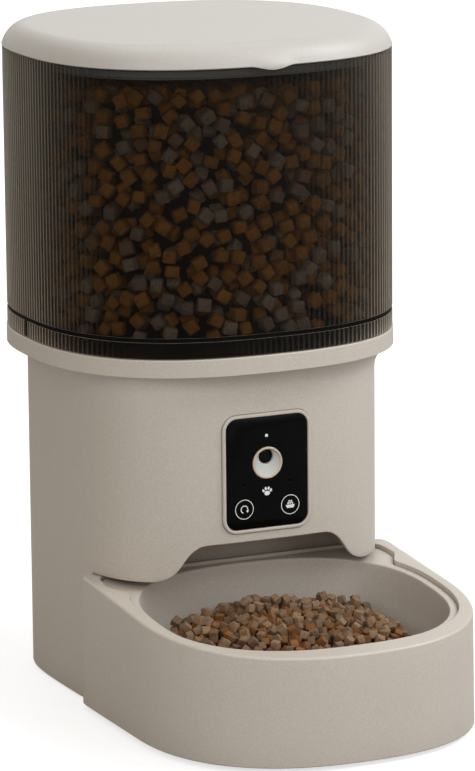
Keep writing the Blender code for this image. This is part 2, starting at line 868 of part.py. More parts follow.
def build_rotor():
    low = chamber_floor_top + gap
    shoulder = low + hub_height
    side = circle(hub_radius, rotor_axis)
    dome = circle(hub_dome_radius_share * hub_radius, rotor_axis)
    dome_z = shoulder + hub_dome_height_share * hub_dome
    top = circle(hub_top_radius, rotor_axis)
    shape = loft([(side, low), (side, shoulder), (dome, dome_z), (top, shoulder + hub_dome)])
    hub = piece("rotor_hub", shape, warm_white, (0, rotor_y, low))
    cut(hub, extrude(circle(shaft_radius + gap, rotor_axis), low - cut_overrun, low + shaft_in_hub + gap))

    sleeve = hub_radius + gap + hub_sleeve
    tip = neck_radius - vane_tip_gap
    outline = []
    pitch = 2 * pi / vane_count
    root = asin(vane_thickness / 2 / sleeve)
    edge = asin(vane_thickness / 2 / tip)
    for index in range(vane_count):
        angle = pitch * index
        outline += [(sleeve, angle - root), (tip, angle - edge), (tip, angle + edge), (sleeve, angle + root)]
        for step in range(1, hub_arc_steps):
            outline.append((sleeve, angle + root + (pitch - 2 * root) * step / hub_arc_steps))
    outline = [(radius * cos(angle), rotor_y + radius * sin(angle)) for radius, angle in outline]
    vanes = extrude(outline, low + gap, low + gap + vane_height)
    wheel = piece("rotor_paddles", vanes, silicone, (0, rotor_y, low))
    cut(wheel, extrude(circle(hub_radius + gap, rotor_axis), low - cut_overrun, shoulder + cut_overrun))

    shaft = extrude(circle(shaft_radius, rotor_axis), axle_foot, low + shaft_in_hub)
    piece("drive_shaft", shaft, steel, (0, rotor_y, axle_foot))


# Chute, carrier plate and gear train
def build_chute():
    inner = outlet_outline(chute_margin)
    outer = outlet_outline(chute_margin + chute_wall)
    inner_low = [(x, y - chute_reach) for x, y in inner]
    outer_low = [(x, y - chute_reach) for x, y in outer]
    top = chamber_bottom - gap
    bend = top - chute_neck
    sections = [(outer, top), (outer, bend), (outer_low, chute_bottom), (inner_low, chute_bottom),
                (inner, bend), (inner, top)]
    piece("chute", loft(sections, closed=True), warm_white)


def build_plate():
    shape = extrude(column_plan(housing_wall + gap), plate_bottom, plate_top)
    plate = piece("carrier_plate", shape, grey_plastic)
    low = plate_bottom - cut_overrun
    high = plate_top + cut_overrun
    chute_hole = extrude(outlet_outline(chute_margin + chute_wall + gap), low, high)
    bush_hole = extrude(circle(bush_flange + gap, rotor_axis), low, high)
    screw_holes = [screw_hole(spot, low, high) for spot in corner_bosses()]
    notch_half = flange_half_width + slide_gap
    notch = block((-notch_half, front_y, low), (notch_half, board_back + slide_gap, high))
    cut(plate, chute_hole, bush_hole, notch, *screw_holes)
    for number, spot in enumerate(corner_bosses(), 1):
        screw_up("plate_screw_" + str(number), spot, plate_bottom - gap, screw_length)


def screw_up(name, spot, head_top, length):
    """A screw driven upward, its head below."""
    piece(name, loft([(circle(screw_head_radius, spot, small_points), head_top - screw_head_height),
                      (circle(screw_head_radius, spot, small_points), head_top),
                      (circle(screw_radius, spot, small_points), head_top),
                      (circle(screw_radius, spot, small_points), head_top + length)]), steel)


def gear_outline(teeth, axis, phase):
    """Outline with straight-sided teeth; one tooth's middle is at the phase angle."""
    pitch = 2 * pi / teeth
    radius = gear_module * teeth / 2
    tip = radius + gear_module * addendum_share
    root = radius - gear_module * dedendum_share
    points = []
    for index in range(teeth):
        middle = phase + index * pitch
        for share, reach in ((-tooth_root_share, root), (-tooth_tip_share, tip), (tooth_tip_share, tip),
                             (tooth_root_share, root)):
            angle = middle + share * pitch
            points.append((axis[0] + reach * cos(angle), axis[1] + reach * sin(angle)))
    return points


def build_gears():
    wheel = gear_outline(wheel_teeth, rotor_axis, idler_angle + pi / wheel_teeth)
    output = piece("output_gear", extrude(wheel, low_gear_z, low_gear_z + gear_width), nylon,
                   (rotor_axis[0], rotor_axis[1], low_gear_z))
    cut(output, extrude(circle(shaft_radius + gap, rotor_axis), low_gear_z - cut_overrun,
                        low_gear_z + gear_width + cut_overrun))

    pinion = gear_outline(pinion_teeth, idler_axis, idler_angle + pi)
    big_wheel = gear_outline(wheel_teeth, idler_axis, motor_angle + pi / wheel_teeth)
    idler = piece("idler_gear", extrude(big_wheel, high_gear_z, high_gear_z + gear_width), nylon,
                  (idler_axis[0], idler_axis[1], low_gear_z))
    add(idler, extrude(pinion, low_gear_z, high_gear_z + gear_width / 2))
    cut(idler, extrude(circle(axle_radius + gap, idler_axis, small_points), low_gear_z - cut_overrun,
                       high_gear_z + gear_width + cut_overrun))

    motor_gear = gear_outline(pinion_teeth, motor_axis, motor_angle + pi)
    shaft_low = gear_case_bottom - gap - motor_shaft_grip
    drive = piece("motor_pinion", extrude(motor_gear, high_gear_z, high_gear_z + gear_width), brass,
                  (motor_axis[0], motor_axis[1], high_gear_z))
    shaft = circle(motor_shaft_radius, motor_axis, small_points)
    add(drive, extrude(shaft, shaft_low, high_gear_z + gear_width / 2))


def hull(discs, count=ring_points):
    """Outline of a belt round several discs."""
    points = sorted({point for radius, centre in discs for point in circle(radius, centre, count)})
    halves = []
    for ordered in (points, points[::-1]):
        chain = []
        for point in ordered:
            while len(chain) > 1 and turn(chain[-2], chain[-1], point) <= 0:
                chain.pop()
            chain.append(point)
        halves += chain[:-1]
    return halves


def turn(a, b, c):
    return (b[0] - a[0]) * (c[1] - a[1]) - (b[1] - a[1]) * (c[0] - a[0])


def build_gearbox():
    room = gear_reach + gear_case_gap
    pinion_room = pinion_radius + gear_module * addendum_share + gear_case_gap
    inner_discs = [(room, rotor_axis), (room, idler_axis), (pinion_room, motor_axis)]
    outer_discs = [(radius + gear_case_wall, axis) for radius, axis in inner_discs]
    outline = hull(outer_discs)
    case = piece("gearbox_case", extrude(outline, gear_case_bottom, gear_case_top), grey_plastic)
    floor_top = gear_case_bottom + gear_case_floor
    hole_top = floor_top + gap
    axle_hole = circle(axle_radius + gap, idler_axis, small_points)
    cavity = extrude(hull(inner_discs), floor_top, gear_case_top + cut_overrun)
    motor_seat = circle(motor_neck_radius + gap, motor_axis)
    motor_hole = extrude(motor_seat, gear_case_bottom - cut_overrun, hole_top)
    shaft_seat = extrude(circle(shaft_radius + gap, rotor_axis), axle_foot - gap, hole_top)
    axle_seat = extrude(axle_hole, axle_foot - gap, hole_top)
    cut(case, cavity)
    cut(case, motor_hole, shaft_seat, axle_seat)

    cover = piece("gearbox_cover", extrude(outline, gear_cover_bottom, gear_cover_top), grey_plastic)
    low = gear_cover_bottom - cut_overrun
    axle_top = gear_cover_bottom + gear_cover_thickness / 2
    shaft_hole = extrude(circle(shaft_radius + slide_gap, rotor_axis), low, gear_cover_top + cut_overrun)
    cut(cover, shaft_hole, extrude(axle_hole, low, axle_top))
    axle = circle(axle_radius, idler_axis, small_points)
    piece("idler_axle", extrude(axle, axle_foot, axle_top - gap), steel)

    top = gear_case_bottom - gap
    body = circle(motor_radius, motor_axis)
    neck = circle(motor_neck_radius, motor_axis)
    bore = circle(motor_shaft_radius + gap, motor_axis)
    neck_top = top + motor_neck_length
    sections = [(body, top - motor_length), (body, top), (neck, top), (neck, neck_top), (bore, neck_top),
                (bore, top - motor_shaft_grip - gap)]
    piece("motor", loft(sections), steel)


# Base plate, battery bay, feet, speaker
def bay_box(margin):
    low = (-bay_half_width - margin, column_y + bay_front_y - margin)
    high = (bay_half_width + margin, column_y + bay_back_y + margin)
    return low, high


def build_base():
    plan = column_plan(housing_wall + gap)
    wall_front = column_y + base_wall_front
    reach = crossing(plan, 1, wall_front, 1)
    outline = [spot for spot in plan if spot[1] > wall_front] + [(-reach, wall_front), (reach, wall_front)]
    outline.sort(key=lambda spot: atan2(spot[1] - column_y, spot[0]))
    base = piece("base_plate", extrude(outline, base_bottom, base_top), warm_white)
    wall = block((-reach, wall_front, base_bottom + gap), (reach, wall_front + base_wall_thickness, arch_top))
    add(base, wall)

    below = base_bottom - cut_overrun
    above = base_top + cut_overrun
    opening_low = (-door_opening_half_width, column_y + bay_front_y + door_opening_margin)
    opening_high = (door_opening_half_width, column_y + bay_back_y - door_opening_margin)
    opening = extrude(plain_box(opening_low, opening_high), below, above)
    recess_low = (opening_low[0] - door_recess_margin, opening_low[1] - door_recess_margin - door_travel)
    recess_high = (opening_high[0] + door_recess_margin, opening_high[1] + door_recess_margin)
    recess = extrude(plain_box(recess_low, recess_high), below, base_bottom + door_recess_depth)
    notches = []
    for side in (-1, 1):
        for y in hook_places():
            edge = side * door_opening_half_width
            reach_out = side * (door_opening_half_width + door_hook_width + gap)
            low = (min(edge - side * gap, reach_out), y - door_travel - slide_gap, below)
            high = (max(edge - side * gap, reach_out), y - door_travel + door_hook_length + slide_gap, above)
            notches.append(block(low, high))
    cut(base, recess)
    cut(base, opening)
    cut(base, *notches)
    holes = [screw_hole(spot, below, above) for spot in base_screw_places()]
    slots = []
    for index in range(grille_slot_count):
        x = speaker_x + (index - (grille_slot_count - 1) / 2) * grille_slot_pitch
        low = (x - grille_slot_width / 2, column_y + speaker_y - grille_slot_half_length)
        high = (x + grille_slot_width / 2, column_y + speaker_y + grille_slot_half_length)
        slots.append(extrude(plain_box(low, high), below, above))
    for side in (-1, 1):
        slots.append(tongue(side, slide_gap, cut_overrun))
    cut(base, *holes, *slots)
    for number, spot in enumerate(base_screw_places(), 1):
        screw_up("base_screw_" + str(number), spot, base_bottom - gap, screw_length)
    build_battery_door(opening_low, opening_high)
    build_feet()


def hook_places():
    """Lower ends, along Y, of the battery door's hooks."""
    return [column_y + bay_front_y + share * bay_length for share in door_hook_shares]


def build_battery_door(opening_low, opening_high):
    margin = door_recess_margin - gap
    low = (opening_low[0] - margin, opening_low[1] - margin, base_bottom)
    high = (opening_high[0] + margin, opening_high[1] + margin, base_bottom + door_thickness)
    door = piece("battery_door", block(low, high), warm_white, (0, column_y + bay_front_y, base_bottom))
    hooks = []
    grips = []
    for side in (-1, 1):
        for y in hook_places():
            outer = door_opening_half_width - slide_gap
            stem = (side * outer, side * (outer - door_hook_stem))
            arm = (side * (outer + door_hook_width), side * (outer - door_hook_stem))
            hook_bottom = base_top + gap
            foot = low[2] + door_thickness / 2
            hooks.append(hook(stem, arm, y, foot, hook_bottom))
    for index in range(door_grip_count):
        y = low[1] + door_grip_length * (1 + 2 * index)
        grips.append(block((-door_grip_half_width, y, base_bottom - cut_overrun),
                           (door_grip_half_width, y + door_grip_length, base_bottom + door_grip_depth)))
    add(door, *hooks)
    cut(door, *grips)


def hook(stem, arm, y, foot, hook_bottom):
    """An L-shaped hook of the battery door, drawn across Y."""
    top = hook_bottom + door_hook_thickness
    outline = [(stem[0], foot), (stem[0], hook_bottom), (arm[0], hook_bottom), (arm[0], top), (arm[1], top),
               (stem[1], foot)]
    return extrude(outline, y, y + door_hook_length, "Y")


def build_feet():
    x = housing_inner_width - foot_side_margin
    spots = [(side * x, column_y + y) for y in (foot_front_y, foot_back_y) for side in (-1, 1)]
    for number, spot in enumerate(spots, 1):
        side = circle(foot_radius, spot)
        foot = loft([(circle(foot_radius - gap, spot), 0), (side, gap), (side, base_bottom - gap)])
        piece("base_foot_" + str(number), foot, rubber)


def build_battery_bay():
    low, high = bay_box(bay_wall)
    inner_low, inner_high = bay_box(0)
    bottom = base_top + gap
    outer = plain_box(low, high)
    inner = plain_box(inner_low, inner_high)
    shell = loft([(outer, bay_top), (outer, bottom), (inner, bottom), (inner, bay_top - bay_wall)])
    piece("battery_bay", shell, grey_plastic)
    for number in range(spring_count):
        x = (number - (spring_count - 1) / 2) * spring_pitch
        piece("battery_spring_" + str(number + 1), spring_shape(x, inner_low[1] + gap), steel)
    contact_low = (-bay_half_width + contact_margin, bay_centre_z - contact_height / 2)
    contact_high = (bay_half_width - contact_margin, bay_centre_z + contact_height / 2)
    wall = inner_high[1] - gap
    contact = extrude(plain_box(contact_low, contact_high), wall - contact_thickness, wall, "Y")
    piece("battery_contact", contact, steel)


def spring_shape(x, start):
    """A tapered compression spring with its wide end on the bay's front wall."""
    steps = round(spring_turns * spring_steps_per_turn)
    sections = []
    for step in range(steps + 1):
        share = step / steps
        angle = 2 * pi * spring_turns * share
        radius = spring_base_radius + (spring_top_radius - spring_base_radius) * share
        y = start + spring_wire_radius + (spring_height - 2 * spring_wire_radius) * share
        centre = Vector((x + radius * cos(angle), y, bay_centre_z + radius * sin(angle)))
        outward = Vector((cos(angle), 0, sin(angle)))
        along = Vector((0, 1, 0))
        ring = []
        for side in range(spring_wire_sides):
            around = 2 * pi * side / spring_wire_sides
            ring.append(centre + spring_wire_radius * (outward * cos(around) + along * sin(around)))
        sections.append(ring)
    return skin(sections)


def skin(rings):
    """Skin over rings of points that are already in space, capped at both ends."""
    shape = bmesh.new()
    rows = [[shape.verts.new(point) for point in ring] for ring in rings]
    shape.faces.new(rows[0])
    shape.faces.new(rows[-1])
    for first, second in zip(rows, rows[1:]):
        for index in range(len(first)):
            following = (index + 1) % len(first)
            shape.faces.new((first[index], first[following], second[following], second[index]))
    bmesh.ops.recalc_face_normals(shape, faces=shape.faces)
    return shape


def build_speaker():
    spot = (speaker_x, column_y + speaker_y)
    bottom = base_top + gap
    top = bottom + speaker_height
    basket = circle(speaker_radius, spot)
    magnet = circle(speaker_magnet_radius, spot)
    shape = loft([(basket, bottom), (basket, bottom + speaker_rim_height),
                  (magnet, top - speaker_magnet_height), (magnet, top)])
    piece("speaker", shape, dark_plastic)


# Camera panel
def panel_outline(margin):
    low = (-panel_half_width - margin, panel_bottom - margin)
    high = (panel_half_width + margin, panel_bottom + panel_height + margin)
    return rounded_box(low, high, panel_corner + margin, panel_corner_steps)


def bezel_posts():
    x = panel_half_width - bezel_post_inset
    low = panel_bottom + bezel_post_inset
    high = panel_bottom + panel_height - bezel_post_inset
    return [(side * x, z) for side in (-1, 1) for z in (low, high)]


def build_panel():
    outer = panel_outline(bezel_width + gap)
    flange = panel_outline(bezel_width + bezel_flange)
    seat = panel_outline(gap)
    ledge = panel_outline(-bezel_ledge)
    front = front_y - bezel_proud
    sections = [(outer, front), (outer, flange_front), (flange, flange_front), (flange, bezel_back),
                (ledge, bezel_back), (ledge, bezel_ledge_front), (seat, bezel_ledge_front), (seat, front)]
    bezel = piece("panel_bezel", loft(sections, "Y", closed=True), warm_white)
    post_end = bezel_back + bezel_post_height
    add(bezel, *[extrude(circle(bezel_post_radius, spot, small_points), bezel_back - gap, post_end, "Y")
                 for spot in bezel_posts()])

    glass = piece("panel_glass", extrude(panel_outline(0), glass_front, glass_back, "Y"), panel_black)
    through = (glass_front - cut_overrun, glass_back + cut_overrun)
    camera_spot = (camera_x, camera_z)
    holes = [extrude(circle(camera_ring_radius + gap, camera_spot), *through, "Y"),
             extrude(circle(light_radius + gap, (0, light_z), small_points), *through, "Y")]
    for side in (-1, 1):
        holes.append(extrude(circle(button_radius + gap, (side * button_x, button_z)), *through, "Y"))
        pinhole = circle(pinhole_radius, (side * pinhole_x, pinhole_z), small_points)
        holes.append(extrude(pinhole, *through, "Y"))
    cut(glass, *holes)
    build_camera(camera_spot)
    build_buttons()
    build_panel_board()


def build_camera(spot):
    front = glass_front - camera_ring_proud
    back = front + camera_ring_depth
    lens_spot = (spot[0], spot[1] + lens_rise)
    shoulder = glass_back + gap
    outer = circle(camera_ring_radius, spot)
    flange = circle(camera_ring_radius + camera_ring_flange, spot)
    mouth = circle(camera_recess_radius, (spot[0], spot[1] + camera_recess_rise))
    throat = circle(lens_radius + gap, lens_spot)
    ring = loft([(outer, front), (outer, shoulder), (flange, shoulder), (flange, back), (throat, back),
                 (throat, front + camera_recess_depth), (mouth, front)], "Y", closed=True)
    piece("camera_ring", ring, warm_white)

    lens_front = front + lens_set_back
    lens_back = lens_front + lens_glass_depth
    side = circle(lens_radius, lens_spot)
    seat = circle(lens_glass_radius + gap, lens_spot)
    barrel = loft([(side, board_front - gap), (side, lens_front), (seat, lens_front), (seat, lens_back)], "Y")
    piece("lens_barrel", barrel, dark_plastic)
    sections = [(circle(lens_glass_radius, lens_spot), lens_back - gap)]
    for share, drop_share in lens_dome_shares:
        level = lens_front + drop_share * lens_glass_bulge
        sections.append((circle(share * lens_glass_radius, lens_spot), level))
    piece("lens_glass", loft(sections, "Y"), lens_black)


def build_buttons():
    front = glass_front - button_proud
    shoulder = glass_back + gap
    back = shoulder + button_flange_thickness
    for side, name in ((-1, "left_button"), (1, "right_button")):
        spot = (side * button_x, button_z)
        body = circle(button_radius, spot)
        flange = circle(button_radius + button_flange, spot)
        cap = loft([(circle(button_radius - gap, spot), front), (body, front + gap), (body, shoulder),
                    (flange, shoulder), (flange, back)], "Y")
        piece(name, cap, panel_black, (side * button_x, front, button_z))


def build_panel_board():
    outline = panel_outline(bezel_width)
    board = piece("panel_board", extrude(outline, board_front, board_back, "Y"), board_green)
    switch_front = glass_back + gap + button_flange_thickness + button_travel + gap
    root = board_front + gap
    chip_front = board_front - light_chip_height
    parts = []
    for side in (-1, 1):
        low = (side * button_x - switch_size / 2, button_z - switch_size / 2)
        high = (side * button_x + switch_size / 2, button_z + switch_size / 2)
        parts.append(extrude(plain_box(low, high), switch_front, root, "Y"))
    microphone = circle(microphone_radius, (pinhole_x, pinhole_z), small_points)
    parts.append(extrude(microphone, chip_front, root, "Y"))
    chip_low = (-light_chip / 2, light_z - light_chip / 2)
    chip_high = (light_chip / 2, light_z + light_chip / 2)
    parts.append(extrude(plain_box(chip_low, chip_high), chip_front, root, "Y"))
    add(board, *parts)
    light = circle(light_radius, (0, light_z), small_points)
    piece("status_light", extrude(light, glass_front, chip_front - gap, "Y"), light_guide)


# Back cover, main board and power inlet
def inlet_axis_z():
    return base_top + gap + inlet_height / 2


def cover_screw_places():
    x = back_cover_half_width - back_ledge_width / 2
    z = back_cover_top - back_ledge_width / 2
    return [(-x, z), (x, z)]


def build_back():
    back = back_y - back_cover_inset
    front = back - back_cover_thickness
    cover = piece("back_cover", back_frame(0, front, back), warm_white)
    board_back_y = front - main_board_depth
    middle_z = back_cover_bottom + back_cover_height / 2
    x = main_board_half_width - board_post_inset
    z = main_board_height / 2 - board_post_inset
    posts = [extrude(circle(board_post_radius, (side_x * x, middle_z + side_z * z), small_points),
                     board_back_y + gap, front + gap, "Y") for side_x in (-1, 1) for side_z in (-1, 1)]
    add(cover, *posts)
    cut(cover, *[extrude(circle(small_screw_radius + gap, spot, small_points), front - cut_overrun,
                         back + cut_overrun, "Y") for spot in cover_screw_places()])
    for number, spot in enumerate(cover_screw_places(), 1):
        head = back + gap
        screw = loft([(circle(small_screw_head_radius, spot, small_points), head + small_screw_head_height),
                      (circle(small_screw_head_radius, spot, small_points), head),
                      (circle(small_screw_radius, spot, small_points), head),
                      (circle(small_screw_radius, spot, small_points), head - small_screw_length)], "Y")
        piece("cover_screw_" + str(number), screw, steel)

    low = (-main_board_half_width, middle_z - main_board_height / 2)
    high = (main_board_half_width, middle_z + main_board_height / 2)
    board_front_y = board_back_y - board_thickness
    board = piece("main_board", extrude(plain_box(low, high), board_front_y, board_back_y, "Y"), board_green)
    root = board_front_y + gap
    half = chip_size / 2
    chip = plain_box((-half, middle_z - half), (half, middle_z + half))
    relay_low = low[1] + relay_width / 2
    relay = plain_box((-relay_length / 2, relay_low), (relay_length / 2, relay_low + relay_width))
    capacitor = circle(capacitor_radius, (x - capacitor_radius, middle_z), small_points)
    for outline, height in ((chip, chip_height), (relay, relay_height), (capacitor, capacitor_height)):
        add(board, extrude(outline, board_front_y - height, root, "Y"))
    build_inlet()


def build_inlet():
    axis_z = inlet_axis_z()
    wall_inner = back_y - housing_wall - gap
    body_low = (-inlet_half_width, base_top + gap)
    body_high = (inlet_half_width, base_top + gap + inlet_height)
    body = extrude(plain_box(body_low, body_high), wall_inner - inlet_depth, wall_inner, "Y")
    inlet = piece("power_inlet", body, dark_plastic)
    face = back_y - gap
    bore_outline = circle(inlet_bore_radius, (0, axis_z))
    pin_outline = circle(inlet_pin_radius, (0, axis_z))
    sleeve = extrude(circle(inlet_sleeve_radius, (0, axis_z)), wall_inner - gap, face, "Y")
    bore = tube(bore_outline, pin_outline, face - inlet_bore_depth, face + cut_overrun, "Y")
    end = extrude(bore_outline, face - inlet_pin_set_back, face + cut_overrun, "Y")
    add(inlet, sleeve)
    cut(inlet, bore)
    cut(inlet, end)


# Hood behind the arch
def build_hood():
    plan = column_plan(housing_wall + gap)
    cheek_front = crossing(plan, 0, hood_half_width, -1)
    front = sorted(spot for spot in plan if spot[1] < column_y and abs(spot[0]) < hood_half_width)
    back = column_y + base_wall_front + base_wall_thickness
    outline = [(-hood_half_width, cheek_front)] + front + [(hood_half_width, cheek_front)]
    outline += [(hood_half_width, back), (-hood_half_width, back)]
    hood = piece("mouth_hood", extrude(outline, hood_bottom, hood_top), warm_white)
    cheeks = []
    for side in (-1, 1):
        edges = sorted((side * (hood_half_width - hood_cheek), side * hood_half_width))
        cheeks.append(block((edges[0], cheek_front, leg_bottom + gap),
                            (edges[1], column_y + base_wall_front - gap, hood_bottom + gap)))
    add(hood, *cheeks)
    hole = [(x, y - chute_reach) for x, y in outlet_outline(chute_margin)]
    cut(hood, extrude(hole, hood_bottom - cut_overrun, hood_top + cut_overrun))


# Tray and bowl
def tray_angles():
    """Even angles round the tray, with more at its back corners and where the rim widens."""
    corner = atan2(tray_back_length, tray_half_width)
    angles = {2 * pi * step / tray_points for step in range(tray_points)}
    for special in [corner + offset for offset in tray_corner_offsets] + list(wing_angles):
        angles.add(special)
        angles.add(pi - special)
    return sorted(angles)


def tray_reach(angle, half_width, length, power):
    return (abs(cos(angle) / half_width) ** power + abs(sin(angle) / length) ** power) ** (-1 / power)


def tray_oval(half_width, front_length, back_length, front_power, back_power):
    """Outline round the tray's centre: one superellipse in front of it, another behind."""
    points = []
    for angle in tray_angles():
        length, power = (back_length, back_power) if sin(angle) > 0 else (front_length, front_power)
        reach = tray_reach(angle, half_width, length, power)
        points.append((reach * cos(angle), tray_y + reach * sin(angle)))
    return points


def tray_plan(inset):
    return tray_oval(tray_half_width - inset, tray_front_length - inset, tray_back_length - inset,
                     tray_front_power, tray_back_power)


def rim_plan(margin):
    """Outline of the bowl's rim: an oval, and behind the wing angles a squarer one."""
    half_width = rim_half_width + margin
    points = []
    for angle in tray_angles():
        length = margin + (rim_back_length if sin(angle) > 0 else rim_front_length)
        wing = min(1, max(0, (asin(sin(angle)) - wing_angles[0]) / (wing_angles[1] - wing_angles[0])))
        reach = (1 - wing) * tray_reach(angle, half_width, length, rim_power)
        reach += wing * tray_reach(angle, half_width, length, wing_power)
        points.append((reach * cos(angle), tray_y + reach * sin(angle)))
    return points


def bowl_plan(margin, share=1):
    return tray_oval(share * bowl_half_width + margin, share * bowl_front_length + margin,
                     share * bowl_back_length + margin, bowl_front_power, bowl_back_power)


def tray_top(drop):
    """The tray's top falls towards the front; this is its height less a drop."""
    return lambda x, y: tray_back_top - drop + tray_slope * (y - tray_y - tray_back_length)


def build_tray():
    edge = tray_edge_share * tray_edge_round
    ledge_drop = rim_drop + rim_thickness + gap
    floor_top = tray_bottom + tray_floor
    sections = [(tray_plan(tray_foot_round), tray_bottom), (tray_plan(0), tray_bottom + tray_foot_round),
                (tray_plan(tray_draft), tray_top(tray_edge_round)),
                (tray_plan(tray_draft + edge), tray_top(edge)),
                (tray_plan(tray_draft + tray_edge_round), tray_top(0)),
                (rim_plan(gap), tray_top(0)), (rim_plan(gap), tray_top(ledge_drop)),
                (rim_plan(gap - tray_ledge_width), tray_top(ledge_drop)),
                (rim_plan(gap - tray_ledge_width), tray_top(ledge_drop + tray_ledge_thickness)),
                (tray_plan(tray_wall + tray_draft), tray_top(ledge_drop + 2 * tray_ledge_thickness)),
                (tray_plan(tray_wall), floor_top)]
    tray = piece("tray", loft(sections), warm_white, (0, tray_y, tray_bottom))
    add(tray, *[tongue(side, 0, tray_wall / 2) for side in (-1, 1)])
    under_legs = housing_half_width + slide_gap
    cut(tray, block((-under_legs, tray_y, leg_bottom - slide_gap),
                    (under_legs, tray_y + tray_back_length + cut_overrun, tray_back_top + cut_overrun)))
    for side, name in ((-1, "tray_pad_left"), (1, "tray_pad_right")):
        x = side * tray_pad_x
        corner_low = (x - tray_pad_half_width, tray_y - tray_pad_length / 2)
        corner_high = (x + tray_pad_half_width, tray_y + tray_pad_length / 2)
        pad = rounded_box(corner_low, corner_high, tray_pad_corner)
        piece(name, extrude(pad, 0, tray_bottom - gap), rubber)


def tongue(side, margin, overrun):
    """Tongue of the tray, or with a margin the slot that it slides in."""
    back = tray_y + tray_back_length
    low = (side * tray_tongue_x - tray_tongue_width / 2 - margin, back - overrun, tray_tongue_z - margin)
    high = (side * tray_tongue_x + tray_tongue_width / 2 + margin, back + tray_tongue_length + margin,
            tray_tongue_z + tray_tongue_thickness + margin)
    return block(low, high)


def build_bowl():
    floor_z = bowl_depth_level
    rim_height = tray_rim_z - floor_z
    inner = []
    outer = []
    for share, level_share in bowl_side_shares:
        level = floor_z + level_share * rim_height
        inner.append((bowl_plan(0, share), level))
        outer.append((bowl_plan(bowl_wall, share), level - bowl_wall / 2))
    sections = [(bowl_plan(bowl_wall, bowl_floor_share), floor_z - bowl_wall)]
    sections += list(reversed(outer))
    sections += [(bowl_plan(bowl_wall - gap), tray_top(rim_drop + rim_thickness + gap)),
                 (rim_plan(0), tray_top(rim_drop + rim_thickness)),
                 (rim_plan(0), tray_top(rim_drop)), (bowl_plan(rim_edge), tray_top(rim_drop)),
                 (bowl_plan(0), tray_top(rim_drop + rim_edge))]
    sections += inner
    sections.append((bowl_plan(0, bowl_floor_share), floor_z))
    piece("bowl", loft(sections), warm_white, (0, tray_y, tray_bottom))


def build_all():
    for item in list(bpy.data.objects):
        bpy.data.objects.remove(item)
    build_housing()
    build_hopper()
    build_lid()
    build_desiccant_holder()
    build_funnel()
    build_rotor_chamber()
    build_rotor()
    build_chute()
    build_plate()
    build_gears()
    build_gearbox()
    build_base()
    build_battery_bay()
    build_speaker()
    build_panel()
    build_back()
    build_hood()
    build_tray()
    build_bowl()


build_all()
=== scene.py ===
"""Looks of the pet feeder with camera: finely shaped shells, dry food, materials, light and camera.

Metres, +Z up, -Y to the front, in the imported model's own frame. A piece that replaces a CAD node
stands where that node stands, and rides on the same body.
"""
import json
from math import asin, atan2, cos, pi, radians, sin, sqrt, tan

import bmesh
import bpy
import numpy as np
from mathutils import Euler, Matrix, Vector

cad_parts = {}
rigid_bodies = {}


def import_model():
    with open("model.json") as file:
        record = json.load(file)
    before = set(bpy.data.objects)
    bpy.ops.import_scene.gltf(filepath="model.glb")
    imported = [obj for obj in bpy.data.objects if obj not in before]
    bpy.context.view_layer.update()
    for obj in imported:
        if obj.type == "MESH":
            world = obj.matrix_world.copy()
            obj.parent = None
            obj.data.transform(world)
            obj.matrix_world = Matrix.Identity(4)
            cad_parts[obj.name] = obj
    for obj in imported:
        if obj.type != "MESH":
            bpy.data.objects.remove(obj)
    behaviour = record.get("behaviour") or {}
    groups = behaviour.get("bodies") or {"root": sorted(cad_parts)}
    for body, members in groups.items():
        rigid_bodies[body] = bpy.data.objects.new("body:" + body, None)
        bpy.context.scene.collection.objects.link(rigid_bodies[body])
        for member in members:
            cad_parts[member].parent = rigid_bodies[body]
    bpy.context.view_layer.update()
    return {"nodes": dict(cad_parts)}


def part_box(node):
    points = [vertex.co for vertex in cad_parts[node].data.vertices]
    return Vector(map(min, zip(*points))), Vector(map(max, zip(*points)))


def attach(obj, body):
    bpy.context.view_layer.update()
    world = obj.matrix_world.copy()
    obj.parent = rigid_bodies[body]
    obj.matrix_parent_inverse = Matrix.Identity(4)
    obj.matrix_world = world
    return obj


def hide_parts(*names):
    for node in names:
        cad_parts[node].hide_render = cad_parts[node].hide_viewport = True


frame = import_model()

# Column: hopper, housing and lid share a centre; their boxes give most of their sizes.
# Sizes of a plan are its half width and its lengths in front of the centre and behind it.
hopper_low, hopper_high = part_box("hopper")
housing_low, housing_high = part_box("main_housing")
lid_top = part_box("lid")[1].z
column_y = (hopper_low.y + hopper_high.y) / 2
column_centre = (0, column_y)
gap = 0.0003
join_distance = 0.000002
soft_edge = 0.00025
tip_radius = 0.0002         # smallest ring at the middle of a round cap
tool_margin = 0.001
hopper_half_width = hopper_high.x
hopper_half_depth = (hopper_high.y - hopper_low.y) / 2
hopper_sizes = (hopper_half_width, hopper_half_depth, hopper_half_depth)
hopper_bottom = hopper_low.z
hopper_top = hopper_high.z
hopper_power = 2.5
hopper_wall = 0.0022
hopper_edge = 0.0004
rib_count = 200
rib_points = 6
rib_depth = 0.0003
band_level = 0.0086
band_width = 0.0023
band_depth = 0.0009
band_thickness = 0.0005
band_margin = 0.0001
key_angle = radians(178.4)
key_width = 0.002
key_margin = 0.0006

